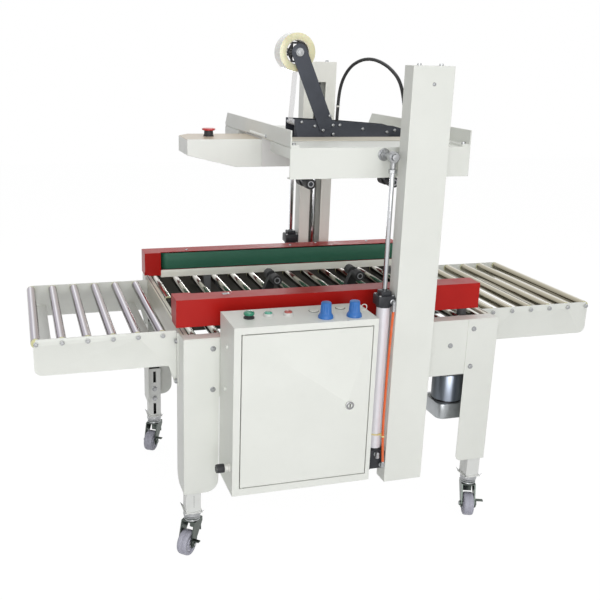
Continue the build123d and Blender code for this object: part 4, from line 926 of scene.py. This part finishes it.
def rounded_square(x, y, size, corner, z0, z1, edge=0.003):
    """An upright block with four round corners: arcs of 9 points, drawn in by edge at both ends."""
    turn = np.linspace(0, np.pi / 2, 9)
    half = size / 2 - corner

    def outline(inset, z):
        arcs = []
        for sx, sy, quarter in ((1, 1, 0), (-1, 1, np.pi / 2), (-1, -1, np.pi), (1, -1, 1.5 * np.pi)):
            a = turn + quarter
            across_x = x + sx * half + (corner - inset) * np.cos(a)
            across_y = y + sy * half + (corner - inset) * np.sin(a)
            arcs.append(np.stack([across_x, across_y, np.full(9, z)], 1))
        return np.concatenate(arcs)
    steps = ((edge, z0), (0.3 * edge, z0 + 0.3 * edge), (0, z0 + edge),
             (0, z1 - edge), (0.3 * edge, z1 - 0.3 * edge), (edge, z1))
    return swept([outline(inset, z) for inset, z in steps], lids=True)


# Drive motors: a gearmotor flanged up under each frame, with a smooth plated shell, a square cowl
# with round corners at the bottom, and a vertical shaft in a tube up to the drive pulley.
motor_x, shell_radius, gearbox_x = 0.4, 0.051, 0.426


def shell_painted_reflection(p):
    """Painted reflection in bands across the shell's width, and a dark seam above the cowl."""
    reflection_bands = ((p.part("X") - (motor_x - shell_radius)) / (2 * shell_radius)).ramp(
        (0.0, (0.08, 0.09, 0.1)), (0.15, (0.25, 0.28, 0.33)), (0.34, (0.34, 0.38, 0.45)),
        (0.5, (0.2, 0.23, 0.28)), (0.64, (0.3, 0.33, 0.38)), (0.82, (0.17, 0.19, 0.22)),
        (1.0, (0.08, 0.09, 0.1)))
    return (p.part("Z") < 0.3915).mix(reflection_bands, (0.05, 0.05, 0.055))


motor_grey = finish_of("motor_shell", shell_painted_reflection, 0.3, 0.9)
cowl_grey = mottled(
    "motor_cowl", (0.46, 0.48, 0.5), (0.36, 0.38, 0.39), 40, (200, 0.28, 0.4), 0.8, (300, 0.0002), detail=4)
gear_dark = mottled(
    "gearbox_paint", (0.1, 0.105, 0.11), (0.16, 0.165, 0.17), 50, (220, 0.4, 0.55), relief=(420, 0.0004),
    detail=4)
drum = section_mm((8, 727), (21.5, 727), (21.9, 729), (21.9, 779), (21.5, 781), (8, 781))
shell = [(0, 0.38), (0.049, 0.38), (0.049, 0.3895), (shell_radius, 0.391), (shell_radius, 0.476),
         (0.049, 0.48), (0, 0.48)]
shaft_tube = section_mm((0, 500), (20, 500), (20, 512), (15, 516), (15, 704.8), (0, 704.8))
cover_top, cover_head = 0.786, 0.0045
for side, word in ((-1, "front"), (1, "back")):
    body = word + "_belt"
    y = side * belt_y
    softened(word + "_belt_cover", word + "_belt_housing", cover_red, body)
    piece_of(word + "_belt_band", [loop_band(y, 0.726, 0.782)], belt_green, body, sharp=60,
             node=word + "_side_belt")
    piece_of(word + "_belt_drums", [turned(drum, (x, y, 0), up, 48, ring=True) for x in pulley_xs],
             pulley_alloy, body, node=word + "_belt_pulleys")
    softened(word + "_carriage_frame", word + "_belt_carriage", gear_dark, body, 0.001)
    strip = block((-0.4535, 0.4555), (side * 0.2605, side * 0.264), (0.6965, 0.7225), 0.0008)
    piece_of(word + "_guide_strip", [strip], strip_cream, body, sharp=30)
    if side > 0:
        screws = [cap_screw((x, across_cover, cover_top), up, 0.0046)
                  for x, across_cover in ((-0.357, 0.285), (0.033, 0.292), (0.14, 0.314), (0.342, 0.305))]
    else:
        screws = [cap_screw((-0.355, -0.288, cover_top), up, 0.0046),
                  block((-0.366, -0.344), (-0.296, -0.28), (0.7858, 0.7872), 0.0004)]
    fasteners(word + "_cover_screws", screws, body)

    piece_of(word + "_motor_shell", [turned(shell, (motor_x, y, 0), up, 64)], motor_grey, body,
             sharp=30, node=word + "_belt_motor")
    piece_of(word + "_motor_cowl", [rounded_square(motor_x, y, 0.112, 0.024, 0.334, 0.386)], cowl_grey,
             body, sharp=30)
    gearbox = [block((0.358, 0.454), (y - 0.048, y + 0.048), (0.478, 0.502), 0.004),
               turned(shaft_tube, (gearbox_x, y, 0), up, 40)]
    piece_of(word + "_gearbox", gearbox, gear_dark, body, sharp=30)
    spindle = plain_rod((gearbox_x, y, 0), up, 0.008, 0.703, 0.783, 28)
    piece_of(word + "_drive_spindle", [spindle], zinc_bright, body)
    studs = [cap_screw((x, y + dy, 0.502), up, 0.0045) for x in (0.366, 0.446) for dy in (-0.04, 0.04)]
    studs += [cap_screw((motor_x + dx, y + dy, 0.3342), -up, 0.003)
              for dx in (-0.036, 0.036) for dy in (-0.036, 0.036)]
    fasteners(word + "_motor_screws", studs, body)

# Control cabinet: a folded and welded sheet box hung on the front side panel, with a rebated front
# frame, a cable gland low on the left and a leaf door on hidden pins with a round key lock.
softened("cabinet_shell", "control_cabinet", off_white, "machine_frame", 0.0022, 3)
softened("cabinet_door_leaf", "cabinet_door", off_white, "door", 0.001)
# Dark rubber for the door gasket, also used for painted shade in the key slot and round the plugs.
gasket_and_painted_shade_dark = mottled("door_gasket", (0.05, 0.05, 0.05), (0.09, 0.09, 0.088), 300, 0.7)
lock_chrome = mottled("lock_chrome", (0.36, 0.36, 0.37), (0.27, 0.27, 0.28), 200, 0.15, 1.0)
x0, x1, z0, z1 = -0.374, 0.007, 0.288, 0.744
seal_ys, seal_width = (-0.5262, -0.5252), 0.006
seal = [block((x0, x1), seal_ys, (z0, z0 + seal_width), 0),
        block((x0, x1), seal_ys, (z1 - seal_width, z1), 0),
        block((x0, x0 + seal_width), seal_ys, (z0 + seal_width, z1 - seal_width), 0),
        block((x1 - seal_width, x1), seal_ys, (z0 + seal_width, z1 - seal_width), 0)]
lock = section_mm((0, 0), (13, 0), (13, 4), (11.8, 5.6), (10, 6.2), (7, 6.2), (6.4, 5), (0, 5))
piece_of("door_lock", [turned(lock, (-0.054, -0.5368, 0.511), (0, -1, 0), 44)], lock_chrome, "door",
         sharp=30)
# Painted shade: a thin dark block in the lock's face stands in for the depth of its key slot.
slot = block((-0.056, -0.052), (-0.5422, -0.5415), (0.5055, 0.5165), 0)
piece_of("lock_slot_painted_shade", [slot], gasket_and_painted_shade_dark, "door")
wall_x = -0.394
side_bolts = [bolt((wall_x, y, z), (-1, 0, 0), 0.0062) for y, z in ((-0.466, 0.6875), (-0.452, 0.5586))]
piece_of("cabinet_side_bolts", side_bolts, off_white, "machine_frame", sharp=28)
bore = 0.0052
gland = [(bore, 0.0158), (0.0124, 0.0158), (0.0128, 0.0172), (0.0128, 0.033), (0.0123, 0.0375),
         (0.0108, 0.0392), (bore, 0.0396)]
throat = [(bore, 0.0), (0.0122, 0.0), (0.0122, 0.004), (0.0094, 0.005), (0.0094, 0.017), (bore, 0.017)]
for name, profile, plastic, slot in (("cable_gland_nut", gland, collar_black, "black_plastic"),
                                     ("cable_gland_body", throat, nylon, "painted_sheet")):
    piece_of(name, [turned(profile, (wall_x, -0.505, 0.342), (-1, 0, 0), 32, ring=True)], plastic,
             "machine_frame", sharp=25)
piece_of("cabinet_gasket", seal, gasket_and_painted_shade_dark, "machine_frame", sharp=30)

# Cabinet controls: a green start mushroom, a green and a red lamp with pale bezels, two cream
# plugs and two blue pressure regulators, all set through the cabinet's top.
start_green = mottled("start_green", (0.01, 0.245, 0.135), (0.008, 0.19, 0.105), 90, 0.22, Coat_Weight=0.5)
lamp_green = mottled("lamp_green", (0.1, 0.42, 0.3), (0.07, 0.34, 0.24), 120, 0.2, Coat_Weight=0.6)
lamp_red = mottled("lamp_red", (0.45, 0.085, 0.065), (0.38, 0.06, 0.05), 120, 0.2, Coat_Weight=0.6)
bezel_pale = mottled("lamp_bezel", (0.66, 0.66, 0.64), (0.56, 0.56, 0.54), 100, 0.35)
plug_cream = mottled("plug_cream", (0.76, 0.76, 0.7), (0.68, 0.68, 0.62), 100, 0.35)
knob_blue = mottled("regulator_blue", (0.028, 0.165, 0.5), (0.02, 0.13, 0.41), 70, (250, 0.32, 0.44))
top = 0.763


def on_top(profile, places, steps=40, ring=False):
    """The same turned piece standing on the cabinet's top at several (x, y)."""
    return [turned(profile, (x, y, top), up, steps, ring) for x, y in places]


start_spot, lamp_spots = (-0.332, -0.457), ((-0.275, -0.451), (-0.218, -0.454))
plug_spots, knob_spots = ((-0.135, -0.433), (-0.05, -0.421)), ((-0.123, -0.497), (-0.04, -0.501))
start = section_mm((0, 9), (12.5, 9), (14.8, 10.5), (15.5, 13), (15, 16.5), (12, 19), (7, 20), (0, 20.2))
piece_of("start_button", on_top(start, [start_spot], 48), start_green, "machine_frame",
         node="cabinet_controls")
collar = section_mm((0, 0), (15.2, 0), (15.2, 3), (13.5, 5), (11, 6), (11, 9.5), (0, 9.5))
piece_of("start_collar", on_top(collar, [start_spot]), collar_black, "machine_frame")
lens = section_mm((0, 8), (11.2, 8), (11.2, 10.5), (9.5, 12.2), (5, 13), (0, 13.1))
for word, glass, spot in zip(("green", "red"), (lamp_green, lamp_red), lamp_spots):
    piece_of(word + "_lamp_lens", on_top(lens, [spot]), glass, "machine_frame")
bezel = section_mm((0, 0), (14, 0), (14, 7), (13, 8.5), (11.2, 8.5), (0, 8.5))
piece_of("lamp_bezels", on_top(bezel, lamp_spots), bezel_pale, "machine_frame")
plug = section_mm((0, 0), (13, 0), (13, 3), (12, 4.2), (8, 4.6), (7.4, 3.8), (0, 3.8))
piece_of("cabinet_plugs", on_top(plug, plug_spots), plug_cream, "machine_frame")
# Painted shadow: a thin dark ring round the foot of each plug.
plug_shadow_ring = section_mm((12.9, 0), (14.4, 0), (14.4, 1), (12.9, 1))
piece_of("plug_painted_shadows", on_top(plug_shadow_ring, plug_spots, ring=True), gasket_and_painted_shade_dark, "machine_frame")


def fluted(shape, place, lobes=16, depth=0.09):
    """A turned knob whose radius also waves round the axis: r * (1 - depth * (1 + cos(lobes * a)) / 2)."""
    verts, faces = shape
    x, y, z = (verts - place).T
    grip = np.clip((z - 0.013) / 0.004, 0, 1) * np.clip((0.043 - z) / 0.004, 0, 1)
    shrink = 1 - depth * grip * (1 + np.cos(lobes * np.arctan2(y, x))) / 2
    return np.stack([x * shrink, y * shrink, z], 1) + place, faces


knob = section_mm((0, 0), (21.5, 0), (21.5, 3.5), (20.5, 7.5), (17.8, 11.5), (16, 14), (15.8, 18),
                  (15.2, 28), (14.7, 38), (14.4, 42.5), (12.8, 44.5), (0, 45))
knobs = [fluted(shape, (*spot, top)) for shape, spot in zip(on_top(knob, knob_spots, 96), knob_spots)]
piece_of("pressure_regulators", knobs, knob_blue, "machine_frame", sharp=40)

# Tie at the cabinet's right edge: white nylon, bent round into an eye that stands over the top.
# point = centre + (eye + tie cos b) * (cos a, 0, sin a) + tie sin b * (0, 1, 0).
eye_radius, tie_radius = 0.0085, 0.0013
a, b = np.meshgrid(np.arange(24) * np.pi / 12, np.arange(8) * np.pi / 4, indexing="ij")
out = eye_radius + tie_radius * np.cos(b)
ring = np.stack([0.006 + out * np.cos(a), -0.462 + tie_radius * np.sin(b), 0.7745 + out * np.sin(a)], -1)
piece_of("tie_ring", [swept(ring, lids=False)], nylon, "machine_frame", sharp=180)


# Stage: a pale seamless floor that shows white to the camera and in reflections but keeps a faint
# shadow, a white world, and soft lamps.
def stage_white(name, seen):
    """A diffuse surface that looks plain white to the camera, glossy and see-through rays."""
    material = bpy.data.materials.new(name)
    material.use_nodes = True
    tree = material.node_tree
    tree.nodes.clear()
    matt = tree.nodes.new("ShaderNodeBsdfDiffuse")
    matt.inputs["Color"].default_value = (0.62, 0.62, 0.62, 1.0)
    glow = tree.nodes.new("ShaderNodeEmission")
    glow.inputs["Strength"].default_value = 1.1
    blend = tree.nodes.new("ShaderNodeMixShader")
    out = tree.nodes.new("ShaderNodeOutputMaterial")
    tree.links.new((seen_rays(tree) * seen).socket, blend.inputs[0])
    tree.links.new(matt.outputs[0], blend.inputs[1])
    tree.links.new(glow.outputs[0], blend.inputs[2])
    tree.links.new(blend.outputs[0], out.inputs["Surface"])
    return material


def seen_rays(tree):
    """1 for a ray from the camera, a mirror or glass, and 0 for the rest."""
    rays = tree.nodes.new("ShaderNodeLightPath")
    camera_ray, glossy, clear = [Wire(tree, rays.outputs["Is " + kind + " Ray"])
                                 for kind in ("Camera", "Glossy", "Transmission")]
    return camera_ray + glossy + clear


floor_mesh = bpy.data.meshes.new("floor")
floor_mesh.from_pydata([(-9, -9, 0), (9, -9, 0), (9, 9, 0), (-9, 9, 0)], [], [(0, 1, 2, 3)])
floor = bpy.data.objects.new("floor", floor_mesh)
bpy.context.collection.objects.link(floor)
floor_mesh.materials.append(stage_white("floor_white", 0.88))
floor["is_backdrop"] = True
world = bpy.data.worlds.new("studio")
bpy.context.scene.world = world
world.use_nodes = True
backdrop = world.node_tree.nodes["Background"]
backdrop.inputs["Color"].default_value = (1.0, 1.0, 1.0, 1.0)
world_level = seen_rays(world.node_tree).span(0.0, 1.0, 0.36, 1.0)
world.node_tree.links.new(world_level.socket, backdrop.inputs["Strength"])
lamps = (("key", (1.8, -3.4, 3.2), 2.4, 22.0), ("fill", (-2.6, -2.2, 2.4), 2.0, 6.0),
         ("front", (-0.9, -4.0, 1.3), 3.0, 80.0), ("top", (0.2, 0.6, 3.9), 2.6, 33.0),
         ("back", (1.2, 3.6, 0.62), 1.2, 24.0))
half_height = Vector((0.0, 0.0, 0.75))
for name, place, wide, power in lamps:
    light = bpy.data.lights.new(name, "AREA")
    light.shape = "DISK"
    light.size = wide
    light.energy = power
    lamp = bpy.data.objects.new(name, light)
    bpy.context.collection.objects.link(lamp)
    lamp.matrix_world = (half_height - Vector(place)).to_track_quat("-Z", "Y").to_matrix().to_4x4()
    lamp.location = place

# Ending: the bounds of the dressed model
low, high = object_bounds()
